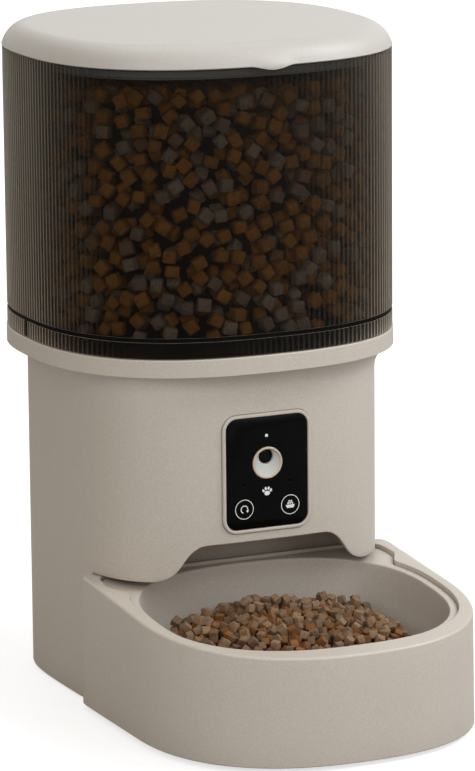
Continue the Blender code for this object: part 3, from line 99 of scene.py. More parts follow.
housing_half_width = 0.0828
housing_half_depth = 0.0838
housing_sizes = (housing_half_width, housing_half_depth, housing_half_depth)
housing_power = 3.43
housing_wall = 0.0026
housing_bottom = housing_low.z
housing_top = housing_high.z
foot_round = 0.0015
edge_round = 0.0007
collar_half_depth = hopper_half_depth + housing_high.x - hopper_half_width
collar_sizes = (housing_high.x, collar_half_depth, collar_half_depth)
collar_height = 0.0092
collar_edge = 0.0006
flare_height = 0.0108
flare_steps = 14
ledge_depth = 0.0027
ledge_width = 0.0043
ledge_thickness = 0.0012
inner_flare_height = 0.011
leg_bottom = 0.0714
arch_half_width = 0.062
arch_rise = 0.0184
arch_shares = ((0.5, 1), (0.58, 0.98), (0.63, 0.91), (0.69, 0.755), (0.748, 0.5), (0.79, 0.31),
               (0.85, 0.14), (0.93, 0.03), (1, 0))
arch_level = 0.094          # rows of the housing's mesh are level above this
skirt_y = column_y - 0.0402
front_columns = 190
back_columns = 150
shell_rows = 8
lower_rows = 6
boss_radius = 0.005
boss_share = 0.785          # how far out towards the wall the corner bosses stand
boss_hole = 0.0018
plate_boss_height = 0.028
plate_hole_rise = 0.012
base_boss_y = column_y + 0.006
base_boss_low = 0.005
base_boss_height = 0.015
base_hole_low = 0.002
base_hole_height = 0.0123
past = 0.004                # how far cutting tools reach past a wall

# Lid
lid_bottom = hopper_top + gap
lid_overhang = 0.0002
lid_wall = 0.0024
lid_round_radial = 0.0133
lid_round_rise = 0.0146
lid_round_steps = 18
lid_edge = 0.0005
lid_skirt_gap = 0.0005
lid_skirt_drop = 0.0054
lid_skirt_wall = 0.0033
lid_skirt_edge = 0.0003
seal_depth = 0.0013
seal_margin = 0.0009
lip_half_width = 0.0155
lip_drop_half_width = 0.0125
lip_proud = 0.0018
lip_drop = 0.0019
lip_rise = 0.0062
lid_columns = 360

# Camera panel
front_y = column_y - housing_half_depth
panel_low, panel_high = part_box("panel_glass")
panel_half_width = panel_high.x
panel_corner = 0.006
glass_front = panel_low.y
glass_back = panel_high.y
glass_edge = 0.0002
bezel_width = 0.0018
bezel_ledge = 0.0026
bezel_flange = 0.0028
bezel_flange_thickness = 0.0017
bezel_edge = 0.0006
bezel_post_radius = 0.002
bezel_post_height = 0.0023
bezel_post_inset = 0.0006
bezel_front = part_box("panel_bezel")[0].y
bezel_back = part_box("panel_bezel")[1].y - bezel_post_height
ring_radius = 0.0084
ring_flange = 0.0012
ring_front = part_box("camera_ring")[0].y
ring_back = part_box("camera_ring")[1].y
recess_radius = 0.0070
recess_rise = 0.0001
recess_depth = 0.0025
recess_edge = 0.0006
ring_edge = 0.0002
dish_steps = 14
# From the dish into the lens's throat: extra radius over the throat and extra depth over the recess
throat_steps = ((0.0003, -0.0003), (0.0001, 0.0002), (0, 0.0008))
lens_radius = 0.0037
lens_rise = 0.0031
lens_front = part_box("lens_barrel")[0].y
lens_edge = 0.0002
lens_glass_radius = 0.0028
lens_glass_sink = 0.0007
button_flange = 0.0009
button_flange_thickness = 0.0011
button_edge = 0.0003
light_bulge = 0.0004
pinhole_radius = 0.0006
pinhole_flare = 0.0012
pinhole_sink = 0.0002
pinhole_x = 0.013
pinhole_z = panel_low.z + 0.4 * (panel_high.z - panel_low.z)
mark_height = 0.00002
mark_root = 0.0001
mark_width = 0.00036
mark_inset = 0.00045
arrow_radius = 0.0019
arrow_width = 0.0005
arrow_angles = (radians(-20), radians(250))
arrow_head = ((-0.0009, 0), (0.0009, 0), (-0.0001, -0.0012))
dish_corners = ((-0.0026, -0.0001), (0.0026, -0.0001), (0.0019, -0.0018), (-0.0019, -0.0018))
dish_food = ((-0.0012, 0.0007), (0, 0.0008), (0.0012, 0.0007), (-0.0006, 0.0018), (0.0006, 0.0018))
dish_food_radius = 0.0005
paw_z = pinhole_z - 0.0048
paw_pad = (0.0016, 0.0012)
paw_pad_drop = 0.0006
paw_toe = (0.0006, 0.0009)
paw_toes = ((0.0021, 0.0008, 0.5), (0.0008, 0.0019, 0.15))      # across, up and lean

# Funnel that the food runs down
funnel_gap = 0.0004
funnel_ring_wall = 0.0018
funnel_step = 0.0012
funnel_wall = 0.0022
funnel_radius = 0.0435
funnel_neck_height = 0.006
funnel_edge = 0.0004
funnel_axis = (0, column_y + 0.014)
funnel_columns = 360

# Back
back_y = column_y + housing_half_depth
cover_low, cover_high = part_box("back_cover")
cover_corner = 0.004
cover_margin = 0.003
cover_ledge = 0.006
cover_ledge_thickness = 0.0029
cover_thickness = 0.002
cover_inset = 0.0016
cover_front = back_y - cover_inset - cover_thickness
cover_hole = 0.0014
inlet_z = (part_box("power_inlet")[0].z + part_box("power_inlet")[1].z) / 2
inlet_radius = 0.0045
large_screw = (0.0015, 0.0011)       # radius of the shank and height of the head
small_screw = (0.0011, 0.001)
screw_edge = 0.0005

# Tray and bowl
tray_low, tray_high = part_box("tray")
tray_sizes = (tray_high.x, 0.08946, 0.0741)
tray_y = tray_low.y + tray_sizes[1]
tray_back = tray_y + tray_sizes[2]
tray_bottom = tray_low.z
tray_back_top = 0.0718
tray_slope = 0.0815
lean_low = 0.008
lean_high = 0.055
tray_powers = (2.402, 30)
tray_draft = 0.0007
tray_foot = 0.001
tray_round = 0.0013
tray_wall = 0.0024
tray_ledge = 0.0023
tray_columns = 480
tray_foot_width = 0.003
tray_top_width = 0.0006
tray_ledge_height = 0.0024
tray_ledge_edge = 0.0004
tray_floor_round = 0.0012
rim_seat_width = 0.0008
rim_seat_edge = 0.0005
leg_clearance = 0.0005
pad_corner = 0.003
pad_slope = 0.0026
foot_hollow = 0.0004
rubber_edge = 0.0006
tongue_x = 0.04
tongue_half_width = 0.007
tongue_length = 0.0096
tongue_low = 0.01
tongue_high = 0.014
bowl_sizes = (0.0776, 0.0708, 0.0669)
bowl_powers = (2.56, 2.5)
bowl_floor_z = 0.0262
bowl_wall = 0.0018
bowl_shares = ((1, 1), (0.992, 0.75), (0.975, 0.48), (0.93, 0.24), (0.85, 0.104), (0.72, 0.032),
               (0.6, 0))
rim_sizes = (0.0822, 0.0754, 0.0711)
rim_power = 2.5
rim_drop = 0.0023
rim_thickness = 0.002
rim_round = 0.0006
rim_width = 0.002
bowl_lip_round = 0.0009
wing_power = 12
wing_angles = (radians(24), radians(31))

# Dry food: larger pieces behind the hopper's wall, smaller ones in the bowl
hopper_food_size = 0.0066
hopper_food_top = 0.3262
hopper_food_bottom = 0.1938
hopper_food_layers = 2
hopper_food_tries = 9000
top_food_tries = 5000
food_dents = 0.012
food_seed = 11
food_reach = 0.93           # how far out food lies in the bowl's plan, whose wall is at 1
outline_steps = 2000
heap_size = 0.0042
heap_centre = (-0.001, -0.056)
heap_top = 0.0588
heap_fall = 0.0105
heap_radius = 0.0635
heap_shoulder = 0.0515
heap_shoulder_width = 0.02
heap_shoulder_drop = 0.014
heap_tries = 6000
loose_count = 30
loose_x = 0.055
loose_y = (-0.045, -0.02)
hopper_shade_core_end = (0.045, 0.178)        # inset and level of the lower end of the painted-shade core, in the funnel
hopper_shade_core_round = 0.006
hopper_shade_core_edge = 0.002
bowl_shade_core_gap = 0.001

# Photograph's camera, fitted to its outlines
photo_width = 475
photo_height = 771
focal_pixels = 4521.14
camera_azimuth = radians(-24.4914)
camera_elevation = radians(12.1081)
camera_roll = radians(-0.5301)
camera_distance = 2.41115
aim_point = Vector((0, column_y, 0.1524))
aim_pixel = (200.0086, 391.5415)


def blank_stage():
    """Nothing but the frame's own objects stays in the scene."""
    for item in list(bpy.data.objects):
        if item.type in {"LIGHT", "CAMERA"} or item.name == "Cube":
            bpy.data.objects.remove(item)


# Outlines
def around(centre, angles, reach):
    """Points at angles round a centre, each as far out as its reach."""
    return np.column_stack((centre[0] + reach * np.cos(angles), centre[1] + reach * np.sin(angles)))


def superellipse(angles, sizes, powers, centre, margin):
    """Points at angles: one superellipse in front of the centre and one behind it, with a margin."""
    behind = np.sin(angles) > 0
    width = sizes[0] + margin
    length = np.where(behind, sizes[2], sizes[1]) + margin
    power = np.where(behind, powers[1], powers[0])
    reach = abs(np.cos(angles) / width) ** power + abs(np.sin(angles) / length) ** power
    return around(centre, angles, reach ** (-1 / power))


def even_angles(plan, start, end, count):
    """Angles from start to end, both included, that part a plan's outline into equal lengths."""
    dense = np.linspace(start, end, 6001)
    steps = np.hypot(*np.diff(plan(dense), axis=0).T)
    lengths = np.concatenate(([0], np.cumsum(steps)))
    return np.interp(np.linspace(0, lengths[-1], count + 1), lengths, dense)


def circle(radius, centre, count):
    return around(centre, 2 * pi * np.arange(count) / count, radius)


def rectangle(low, high):
    return np.array((low, (high[0], low[1]), high, (low[0], high[1])))


def rounded_box(low, high, corner, steps=10):
    """Rectangle outline with round corners."""
    points = []
    right, left = high[0] - corner, low[0] + corner
    top, bottom = high[1] - corner, low[1] + corner
    centres = ((right, top), (left, top), (left, bottom), (right, bottom))
    for quarter, (x, y) in enumerate(centres):
        for step in range(steps + 1):
            angle = pi / 2 * (quarter + step / steps)
            points.append((x + corner * cos(angle), y + corner * sin(angle)))
    return np.array(points)


def place(outline, level, axis="Z"):
    """Points in space of an outline that lies across Z or Y; the level may depend on the outline."""
    if callable(level):
        level = level(outline)
    level = np.broadcast_to(level, len(outline))
    first, second = outline.T
    return np.column_stack((first, second, level) if axis == "Z" else (first, level, second))


def rounded(corners, closed=False, steps=4):
    """Profile through corners (inset, level, radius), with an arc wherever there is a radius."""
    points = []
    spots = [Vector(corner[:2]) for corner in corners]
    for index, (spot, corner) in enumerate(zip(spots, corners)):
        radius = corner[2] if len(corner) > 2 else 0
        if not radius or (not closed and index in (0, len(spots) - 1)):
            points.append(tuple(spot))
            continue
        before = (spots[index - 1] - spot).normalized()
        after = (spots[(index + 1) % len(spots)] - spot).normalized()
        half = before.angle(after) / 2
        centre = spot + (before + after).normalized() * radius / sin(half)
        start = spot + before * radius / tan(half) - centre
        end = spot + after * radius / tan(half) - centre
        turn = atan2(start.x * end.y - start.y * end.x, start.dot(end))
        for step in range(steps + 1):
            points.append(tuple(centre + Matrix.Rotation(turn * step / steps, 2) @ start))
    return points


def smooth_through(points, steps):
    """Points along a smooth curve through a few given ones."""
    spots = [Vector(point) for point in points]
    spots = [2 * spots[0] - spots[1]] + spots + [2 * spots[-1] - spots[-2]]
    curve = []
    for a, b, c, d in zip(spots, spots[1:], spots[2:], spots[3:]):
        for step in range(steps):
            t = step / steps
            curve.append(tuple((2 * b + (c - a) * t + (2 * a - 5 * b + 4 * c - d) * t ** 2
                                + (3 * b - a - 3 * c + d) * t ** 3) / 2))
    return curve + [tuple(spots[-2])]


# Mesh helpers
def linked(name, data):
    """New object of a mesh, lamp or camera, in the scene."""
    item = bpy.data.objects.new(name, data)
    bpy.context.scene.collection.objects.link(item)
    return item


def finish_mesh(item):
    """Joined points, outward faces and smooth shading with sharp edges."""
    shape = bmesh.new()
    shape.from_mesh(item.data)
    bmesh.ops.remove_doubles(shape, verts=shape.verts, dist=join_distance)
    bmesh.ops.dissolve_degenerate(shape, edges=shape.edges, dist=join_distance)
    bmesh.ops.recalc_face_normals(shape, faces=shape.faces)
    shape.to_mesh(item.data)
    shape.free()
    item.data.shade_smooth()
    item.data.set_sharp_from_angle(angle=radians(35))
    return item


def mesh_object(name, points, faces):
    mesh = bpy.data.meshes.new(name)
    mesh.from_pydata([tuple(point) for point in points], [], faces)
    return finish_mesh(linked(name, mesh))


def strip(first, second, count, columns):
    """Faces of the first columns between two rows of points; a row is the index of its first point."""
    faces = []
    for index in range(columns):
        following = (index + 1) % count
        faces.append((first + index, first + following, second + following, second + index))
    return faces


def skin(rings):
    """Points of rings that lie on each other, the faces between them and each ring's first index."""
    count = len(rings[0])
    rows = [count * index for index in range(len(rings))]
    faces = []
    for first, second in zip(rows, rows[1:]):
        faces += strip(first, second, count, count)
    return np.concatenate(rings), faces, rows


def loft(name, sections, axis="Z", closed=False):
    """Skin over (outline, level) sections, capped at both ends or closed into a ring."""
    points, faces, rows = skin([place(outline, level, axis) for outline, level in sections])
    count = len(sections[0][0])
    if closed:
        faces += strip(rows[-1], rows[0], count, count)
    else:
        faces += [tuple(range(count)), tuple(range(rows[-1], rows[-1] + count))]
    return mesh_object(name, points, faces)


def swept(name, plan, profile, axis="Z", closed=True):
    """Skin of a profile, in (inset, level) points, along a plan that takes an inset."""
    return loft(name, [(plan(inset), level) for inset, level in profile], axis, closed)


def turned(name, spot, profile, axis="Y", count=96):
    """Round piece from a profile in (radius, level) points round a spot."""
    return swept(name, lambda radius: circle(radius, spot, count), profile, axis, closed=False)


def dome(radius, back, front, height, steps, tip):
    """Profile of a dome that bulges to the front, with a tiny flat tip."""
    profile = [(radius, back)]
    for step in range(steps):
        angle = pi / 2 * step / steps
        profile.append((radius * cos(angle), front + height * (1 - sin(angle))))
    return profile + [(tip, front)]


def prism(outline, start, end, axis="Z"):
    return loft("tool", [(outline, start), (outline, end)], axis)


def rod(radius, spot, start, end, axis="Z", count=32):
    return prism(circle(radius, spot, count), start, end, axis)


def with_modifiers(item):
    """The item with its modifiers made part of its mesh."""
    graph = bpy.context.evaluated_depsgraph_get()
    mesh = bpy.data.meshes.new_from_object(item.evaluated_get(graph))
    mesh.name = item.name
    item.modifiers.clear()
    item.data = mesh
    return finish_mesh(item)


def merged(items, name="tool"):
    """Several objects as one."""
    shape = bmesh.new()
    for item in items:
        shape.from_mesh(item.data)
        bpy.data.objects.remove(item)
    mesh = bpy.data.meshes.new(name)
    shape.to_mesh(mesh)
    shape.free()
    return linked(name, mesh)


def combine(item, operation, tools):
    """Adds the tools to the item, or cuts them from it, and takes them out of the scene."""
    for tool in tools:
        modifier = item.modifiers.new(operation.lower(), "BOOLEAN")
        modifier.operation = operation
        modifier.object = tool
        modifier.solver = "EXACT"
    with_modifiers(item)
    for tool in tools:
        bpy.data.objects.remove(tool)


def spot_of(name, axis="Y"):
    """Middle of a node's box, seen from the front or, with axis Z, from below."""
    low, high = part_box(name)
    up = 2 if axis == "Y" else 1
    return ((low.x + high.x) / 2, (low[up] + high[up]) / 2)


def radius_of(name):
    low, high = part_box(name)
    return (high.x - low.x) / 2


# Materials
def feed(tree, node, inputs):
    """Gives each input of a node its value, or links it from another node's output."""
    for name, value in inputs.items():
        if isinstance(value, bpy.types.NodeSocket):
            tree.links.new(value, node.inputs[name])
        else:
            node.inputs[name].default_value = value


def output(tree, kind, name, inputs, **settings):
    """Named output of a new shader node with its settings and inputs."""
    node = tree.nodes.new("ShaderNode" + kind)
    for setting, value in settings.items():
        setattr(node, setting, value)
    feed(tree, node, inputs)
    return node.outputs[name]


def new_material(name):
    material = bpy.data.materials.new(name)
    material.use_nodes = True
    return material, material.node_tree


def with_shader(material, inputs):
    """The material with the inputs of its surface shader."""
    feed(material.node_tree, material.node_tree.nodes["Principled BSDF"], inputs)
    return material


def linear(red, green, blue):
    """Scene-linear colour of an sRGB colour given from 0 to 255."""
    values = []
    for channel in (red, green, blue):
        share = channel / 255
        values.append(share / 12.92 if share <= 0.04045 else ((share + 0.055) / 1.055) ** 2.4)
    return (*values, 1)


def shade(colour, factor):
    return (*[min(1, channel * factor) for channel in colour[:3]], 1)


def position(tree):
    """Place on the piece in the part's own metres."""
    return output(tree, "TexCoord", "Object", {})


def noise(tree, scale, detail=2, roughness=0.5):
    """Noise in the part's own metres, so that its grain keeps its size."""
    return output(tree, "TexNoise", "Fac", {
        "Vector": position(tree), "Scale": scale, "Detail": detail, "Roughness": roughness})


def ramp(tree, factor, stops):
    """Colours at shares of a factor."""
    node = tree.nodes.new("ShaderNodeValToRGB")
    points = node.color_ramp.elements
    while len(points) < len(stops):
        points.new(1)
    for point, (share, colour) in zip(points, stops):
        point.position = share
        point.color = colour
    feed(tree, node, {"Fac": factor})
    return node.outputs["Color"]


def spread(tree, factor, low, high, start=0.3, end=0.7):
    """A factor between start and end, spread from low to high."""
    return output(tree, "MapRange", "Result", {
        "Value": factor, "From Min": start, "From Max": end, "To Min": low, "To Max": high})


def about(tree, factor, value, reach):
    """A factor made into a value that varies by reach."""
    return spread(tree, factor, value - reach, value + reach)


def bump(tree, height, distance, strength=1):
    return output(tree, "Bump", "Normal", {"Height": height, "Distance": distance, "Strength": strength})


def plastic(name, colour, roughness=0.42, contrast=0.09, grain=1500, depth=0.00003, reflection=0.5):
    """Moulded plastic with a fine eroded grain and a faint unevenness of tone."""
    material, tree = new_material(name)
    fine = noise(tree, grain, 3, 0.6)
    speckle = 0.35
    stops = ((speckle, shade(colour, 1 - contrast)), (0.5, colour),
             (1 - speckle, shade(colour, 1 + contrast)))
    return with_shader(material, {
        "Base Color": ramp(tree, fine, stops), "Roughness": about(tree, noise(tree, 40), roughness, 0.015),
        "Specular IOR Level": reflection, "Normal": bump(tree, fine, depth)})


def metal(name, colour, roughness):
    """Bare metal with fine lines drawn along Z."""
    material, tree = new_material(name)
    drawn = output(tree, "Mapping", "Vector", {"Vector": position(tree), "Scale": (900, 900, 60)})
    lines = output(tree, "TexNoise", "Fac", {"Vector": drawn, "Scale": 1})
    return with_shader(material, {
        "Base Color": ramp(tree, lines, ((0.3, shade(colour, 0.85)), (0.7, colour))),
        "Roughness": about(tree, lines, roughness, 0.08), "Metallic": 1,
        "Normal": bump(tree, lines, 0.00002)})


def circuit_board(name):
    """Solder mask with copper tracks that show through it."""
    material, tree = new_material(name)
    bricks = tree.nodes.new("ShaderNodeTexBrick")
    feed(tree, bricks, {
        "Vector": position(tree), "Scale": 180, "Mortar Size": 0.06, "Color1": linear(18, 84, 48),
        "Color2": linear(22, 92, 54), "Mortar": linear(60, 128, 70)})
    return with_shader(material, {
        "Base Color": bricks.outputs["Color"], "Roughness": spread(tree, noise(tree, 300), 0.3, 0.45),
        "Normal": bump(tree, bricks.outputs["Fac"], 0.00003)})


def kibble(name, stops):
    """Baked food: each piece has its own tone, with darker pores and a dry, crumbly surface."""
    material, tree = new_material(name)
    tone = output(tree, "Attribute", "Fac", {}, attribute_name="tone")
    crumbs = noise(tree, 900, 4, 0.65)
    pores = ((0.36, (0.45, 0.42, 0.4, 1)), (0.5, (1, 1, 1, 1)), (0.68, (1.0, 0.97, 0.9, 1)))
    mixed = output(tree, "Mix", "Result", {
        "Factor": 1, "A": ramp(tree, tone, stops), "B": ramp(tree, crumbs, pores)},
        data_type="RGBA", blend_type="MULTIPLY")
    return with_shader(material, {
        "Base Color": mixed, "Roughness": spread(tree, crumbs, 0.7, 0.9),
        "Normal": bump(tree, crumbs, 0.0003, 0.8)})


def smoked(name):
    """Smoked see-through plastic, which lets less light through where it is seen edge on."""
    material, tree = new_material(name)
    haze = noise(tree, 60)
    facing = output(tree, "LayerWeight", "Facing", {"Blend": 0.5})
    return with_shader(material, {
        "Base Color": ramp(tree, haze, ((0.3, linear(8, 5, 3)), (0.7, linear(11, 7, 5)))),
        "Roughness": spread(tree, haze, 0.25, 0.33), "Alpha": spread(tree, facing, 0.38, 0.9, 0.15, 0.75),
        "Specular IOR Level": 0.02, "Sheen Weight": 1, "Sheen Roughness": 0.41,
        "Sheen Tint": linear(250, 234, 212)})


def ring_plastic(name, land, dish, centre, radius):
    """Plastic whose flat land, outside a radius round an axis along Y, differs from the dish in it."""
    material = plastic(name, dish, 0.4, 0.03)
    tree = material.node_tree
    flat = output(tree, "VectorMath", "Vector", {0: position(tree), 1: (1, 0, 1)}, operation="MULTIPLY")
    away = output(tree, "VectorMath", "Value", {0: flat, 1: (centre[0], 0, centre[1])}, operation="DISTANCE")
    share = spread(tree, away, 0, 1, radius - 0.0001, radius + 0.0001)
    return with_shader(material, {"Base Color": ramp(tree, share, ((0, dish), (1, land)))})


def gloss(name, colour, roughness, reflection):
    """Smooth gloss with the faintest orange peel."""
    material, tree = new_material(name)
    peel = noise(tree, 220)
    return with_shader(material, {
        "Base Color": ramp(tree, peel, ((0.3, shade(colour, 0.9)), (0.7, shade(colour, 1.1)))),
        "Roughness": about(tree, peel, roughness, 0.02), "Specular IOR Level": reflection,
        "Normal": bump(tree, peel, 0.00002, 0.4)})


materials = {
    "warm_white": plastic("warm_white_plastic", linear(189, 180, 169)),
    "lid_white": plastic("lid_plastic", linear(180, 174, 167), 0.45, 0.06),
    "smoke": smoked("smoked_plastic"),
    "dark_plastic": plastic("dark_plastic", linear(18, 16, 15), 0.45, 0.1, reflection=0.1),
    "band": plastic("band_plastic", linear(8, 7, 6), 0.6, 0.1, reflection=0.04),
    "grey_plastic": plastic("grey_plastic", linear(150, 149, 146), 0.5),
    "silicone": plastic("silicone", linear(186, 184, 178), 0.65, 0.03, 600, 0.00002),
    "rubber": plastic("rubber", linear(38, 37, 36), 0.8, 0.25, 900, 0.00006),
    "panel_black": gloss("panel_gloss", linear(10, 9, 9), 0.14, 0.05),
    "lens_black": gloss("lens_glass", linear(8, 8, 10), 0.06, 0.1),
    "steel": metal("steel", linear(196, 197, 199), 0.3),
    "brass": metal("brass", linear(200, 170, 104), 0.34),
    "nylon": plastic("nylon", linear(224, 220, 210), 0.42, 0.03),
    "board_green": circuit_board("circuit_board"),
    "light_guide": gloss("light_guide", linear(226, 230, 228), 0.2, 0.5),
    "camera_ring": ring_plastic("ring_plastic", linear(196, 178, 158), linear(184, 184, 180),
                                spot_of("camera_ring"), recess_radius + 0.0001),
    "print": plastic("white_print", linear(226, 226, 224), 0.6, 0.03, 2500, 0.000004),
    "hopper_food": kibble("hopper_food", ((0, linear(176, 154, 130)), (0.3, linear(146, 124, 102)),
                                          (0.4, linear(168, 106, 26)), (1, linear(190, 124, 32)))),
    "bowl_food": kibble("bowl_food", ((0, linear(138, 107, 76)), (0.5, linear(102, 77, 53)),
                                      (0.62, linear(98, 59, 15)), (1, linear(124, 75, 17)))),
    # Near-black kibble fill under the loose pieces: painted shade for the gaps between them.
    "food_core": kibble("food_core", ((0, linear(15, 9, 5)), (1, linear(19, 12, 7)))),
}


def dress(item, look, body, *nodes):
    """Gives a piece its material and slot, its body and the CAD nodes that it stands for."""
    item.data.materials.clear()
    item.data.materials.append(materials[look])
    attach(item, body)
    if nodes:
        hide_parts(*nodes)


def dress_frame():
    """Carried-over CAD nodes get the material of their slot and softened edges."""
    for item in frame["nodes"].values():
        found = item.data.materials[0].name
        slot = next(key for key in materials if found.startswith(key))
        for index in range(len(item.data.materials)):
            item.data.materials[index] = materials[slot]
        bevel = item.modifiers.new("soft_edges", "BEVEL")
        bevel.width = soft_edge
        bevel.segments = 2
        bevel.limit_method = "ANGLE"
        bevel.angle_limit = radians(50)


# Housing
def column_points(sizes, power, inset):
    """Plan of the column's shell; its front and its back meet exactly where the skirt ends."""
    def plan(angles):
        return superellipse(angles, sizes, (power, power), column_centre, -inset)

    search = np.linspace(-pi / 2, 0, 4001)
    right = np.interp(skirt_y, plan(search)[:, 1], search)
    front = even_angles(plan, -pi - right, right, front_columns)
    back = even_angles(plan, right, pi - right, back_columns)
    return plan(np.concatenate((front, back[1:-1])))


def body_plan(inset):
    return column_points(housing_sizes, housing_power, inset)


def collar_plan(inset):
    return column_points(collar_sizes, hopper_power, inset)


def arch_z(x):
    """Height of the skirt's lower edge across the front."""
    across, up = np.array(smooth_through(arch_shares, 8)).T
    return leg_bottom + arch_rise * np.interp(abs(x) / arch_half_width, across, up, left=1, right=0)


def skirt_rows(plan):
    """Rows from the arch level down to the skirt's edge."""
    bottom = arch_z(plan[:, 0])
    bottom[front_columns:] = leg_bottom
    bottom[0] = leg_bottom
    return [place(plan, arch_level + (bottom - arch_level) * row / shell_rows)
            for row in range(1, shell_rows + 1)]


def housing_rings(outer, inner):
    """Full rings of points, from the skirt's inner edge up and over the collar to its outer edge."""
    collar, bore = collar_plan(0), collar_plan(housing_wall)
    ledge = collar_plan(housing_wall + ledge_width)
    ledge_z = housing_top - ledge_depth
    cone_top = ledge_z - ledge_thickness
    cone_rise = cone_top - inner_flare_height - arch_level
    flare_bottom = housing_top - collar_height - flare_height
    rings = skirt_rows(inner)[::-1]
    for row in range(shell_rows + 1):
        rings.append(place(inner, arch_level + cone_rise * row / shell_rows))
    for share in (0.35, 0.7, 1):
        rings.append(place((1 - share) * inner + share * ledge, cone_top - inner_flare_height * (1 - share)))
    rings += [place(ledge, ledge_z), place(bore, ledge_z), place(bore, housing_top - edge_round / 2)]
    top = [(housing_wall, housing_top - edge_round), (housing_wall, housing_top, edge_round / 2),
           (0, housing_top, collar_edge), (0, housing_top - 2 * collar_edge)]
    rings += [place(collar_plan(inset), level) for inset, level in rounded(top)]
    for step in range(flare_steps + 1):
        share = 1 - step / flare_steps
        across = 1 - sqrt(1 - share ** 2)
        rings.append(place((1 - across) * outer + across * collar, flare_bottom + share * flare_height))
    for row in range(1, shell_rows + 1):
        rings.append(place(outer, flare_bottom + (arch_level - flare_bottom) * row / shell_rows))
    return rings + skirt_rows(outer)


def build_housing():
    """Shell in full rings down to the skirt, and below it two walls round the back and the sides."""
    outer, inner = body_plan(0), body_plan(housing_wall)
    count = len(outer)
    points, faces, rows = skin(housing_rings(outer, inner))
    points = list(points)
    faces += strip(rows[-1], rows[0], count, front_columns)

    behind = list(range(front_columns, count)) + [0]
    walls = []
    for plan, top in ((outer, rows[-1]), (inner, rows[0])):
        columns = [[top + index] for index in behind]
        for row in range(1, lower_rows + 1):
            z = leg_bottom + (housing_bottom - leg_bottom) * row / lower_rows
            for column, index in zip(columns, behind):
                column.append(len(points))
                points.append(np.array((*plan[index], z)))
        walls.append(columns)
        for left, right in zip(columns, columns[1:]):
            faces += [(left[row], right[row], right[row + 1], left[row + 1]) for row in range(lower_rows)]
    for left, right in zip(zip(*walls), list(zip(*walls))[1:]):
        faces.append((left[0][-1], right[0][-1], right[1][-1], left[1][-1]))
    for end in (0, -1):
        shell, lining = walls[0][end], walls[1][end]
        faces += [(shell[row], shell[row + 1], lining[row + 1], lining[row]) for row in range(lower_rows)]

    housing = mesh_object("housing_shell", points, faces)
    soften_skirt(housing)
    add_housing_bosses(housing)
    cut_housing(housing)
    dress(housing, "warm_white", "column", "main_housing")


def soften_skirt(housing):
    """Rounds the lower edges of the shell, the foot more than the skirt."""
    shape = bmesh.new()
    shape.from_mesh(housing.data)
    weight = shape.edges.layers.float.new("bevel_weight_edge")
    for edge in shape.edges:
        top = max(vertex.co.z for vertex in edge.verts)
        if top < arch_level and len(edge.link_faces) == 2 and edge.calc_face_angle() > radians(60):
            at_foot = top < housing_bottom + edge_round and edge.verts[0].co.y > skirt_y - edge_round
            edge[weight] = 1 if at_foot else edge_round / foot_round
    shape.to_mesh(housing.data)
    shape.free()
    bevel = housing.modifiers.new("soft_edges", "BEVEL")
    bevel.limit_method = "WEIGHT"
    bevel.width = foot_round
    bevel.segments = 3
    with_modifiers(housing)


def corner_spots():
    """Screw bosses in the housing's corners."""
    x = boss_share * (housing_half_width - housing_wall)
    y = boss_share * (housing_half_depth - housing_wall)
    return [(side_x * x, column_y + side_y * y) for side_x in (-1, 1) for side_y in (-1, 1)]


def base_spots():
    """Screw bosses over the base plate: two at the sides and two in the back corners."""
    x = housing_half_width - housing_wall - boss_share * boss_radius
    back = [spot for spot in corner_spots() if spot[1] > column_y]
    return [(-x, base_boss_y), (x, base_boss_y)] + back


def cover_frame(margin, start, end):
    low = (cover_low.x - margin, cover_low.z - margin)
    high = (cover_high.x + margin, cover_high.z + margin)
    return prism(rounded_box(low, high, cover_corner), start, end, "Y")


def add_housing_bosses(housing):
    plate_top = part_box("carrier_plate")[1].z + gap
    base_top = base_boss_low + gap
    bosses = [rod(boss_radius, spot, plate_top, plate_top + plate_boss_height) for spot in corner_spots()]
    bosses += [rod(boss_radius, spot, base_top, base_top + base_boss_height) for spot in base_spots()]
    bosses.append(cover_frame(cover_margin, cover_front - gap - cover_ledge_thickness,
                              back_y - housing_wall + 2 * gap))
    combine(housing, "UNION", [merged(bosses)])


def panel_plan(margin):
    low = (-panel_half_width - margin, panel_low.z - margin)
    high = (panel_half_width + margin, panel_high.z + margin)
    return rounded_box(low, high, panel_corner + margin, 12)


def cut_housing(housing):
    """Openings for the camera panel, the back cover and the inlet, and holes for the screws."""
    inner = cover_front - cover_ledge_thickness - past
    opening = prism(panel_plan(bezel_width + 2 * gap), front_y - past, front_y + housing_wall + past, "Y")
    inlet = rod(inlet_radius + gap, (0, inlet_z), back_y - housing_wall - past, back_y + past, "Y", 64)
    pocket = cover_frame(gap, cover_front - gap, back_y + past)
    window = cover_frame(-cover_ledge, inner, back_y + past)
    plate_low, plate_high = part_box("carrier_plate")
    holes = [rod(boss_hole, spot, plate_low.z, plate_high.z + plate_hole_rise, count=24)
             for spot in corner_spots()]
    holes += [rod(boss_hole, spot, base_hole_low, base_hole_low + base_hole_height, count=24)
              for spot in base_spots()]
    holes += [rod(cover_hole, spot_of(name), inner, back_y, "Y", 24)
              for name in ("cover_screw_1", "cover_screw_2")]
    combine(housing, "DIFFERENCE", [merged([opening, inlet, pocket])])
    combine(housing, "DIFFERENCE", [merged([window] + holes)])


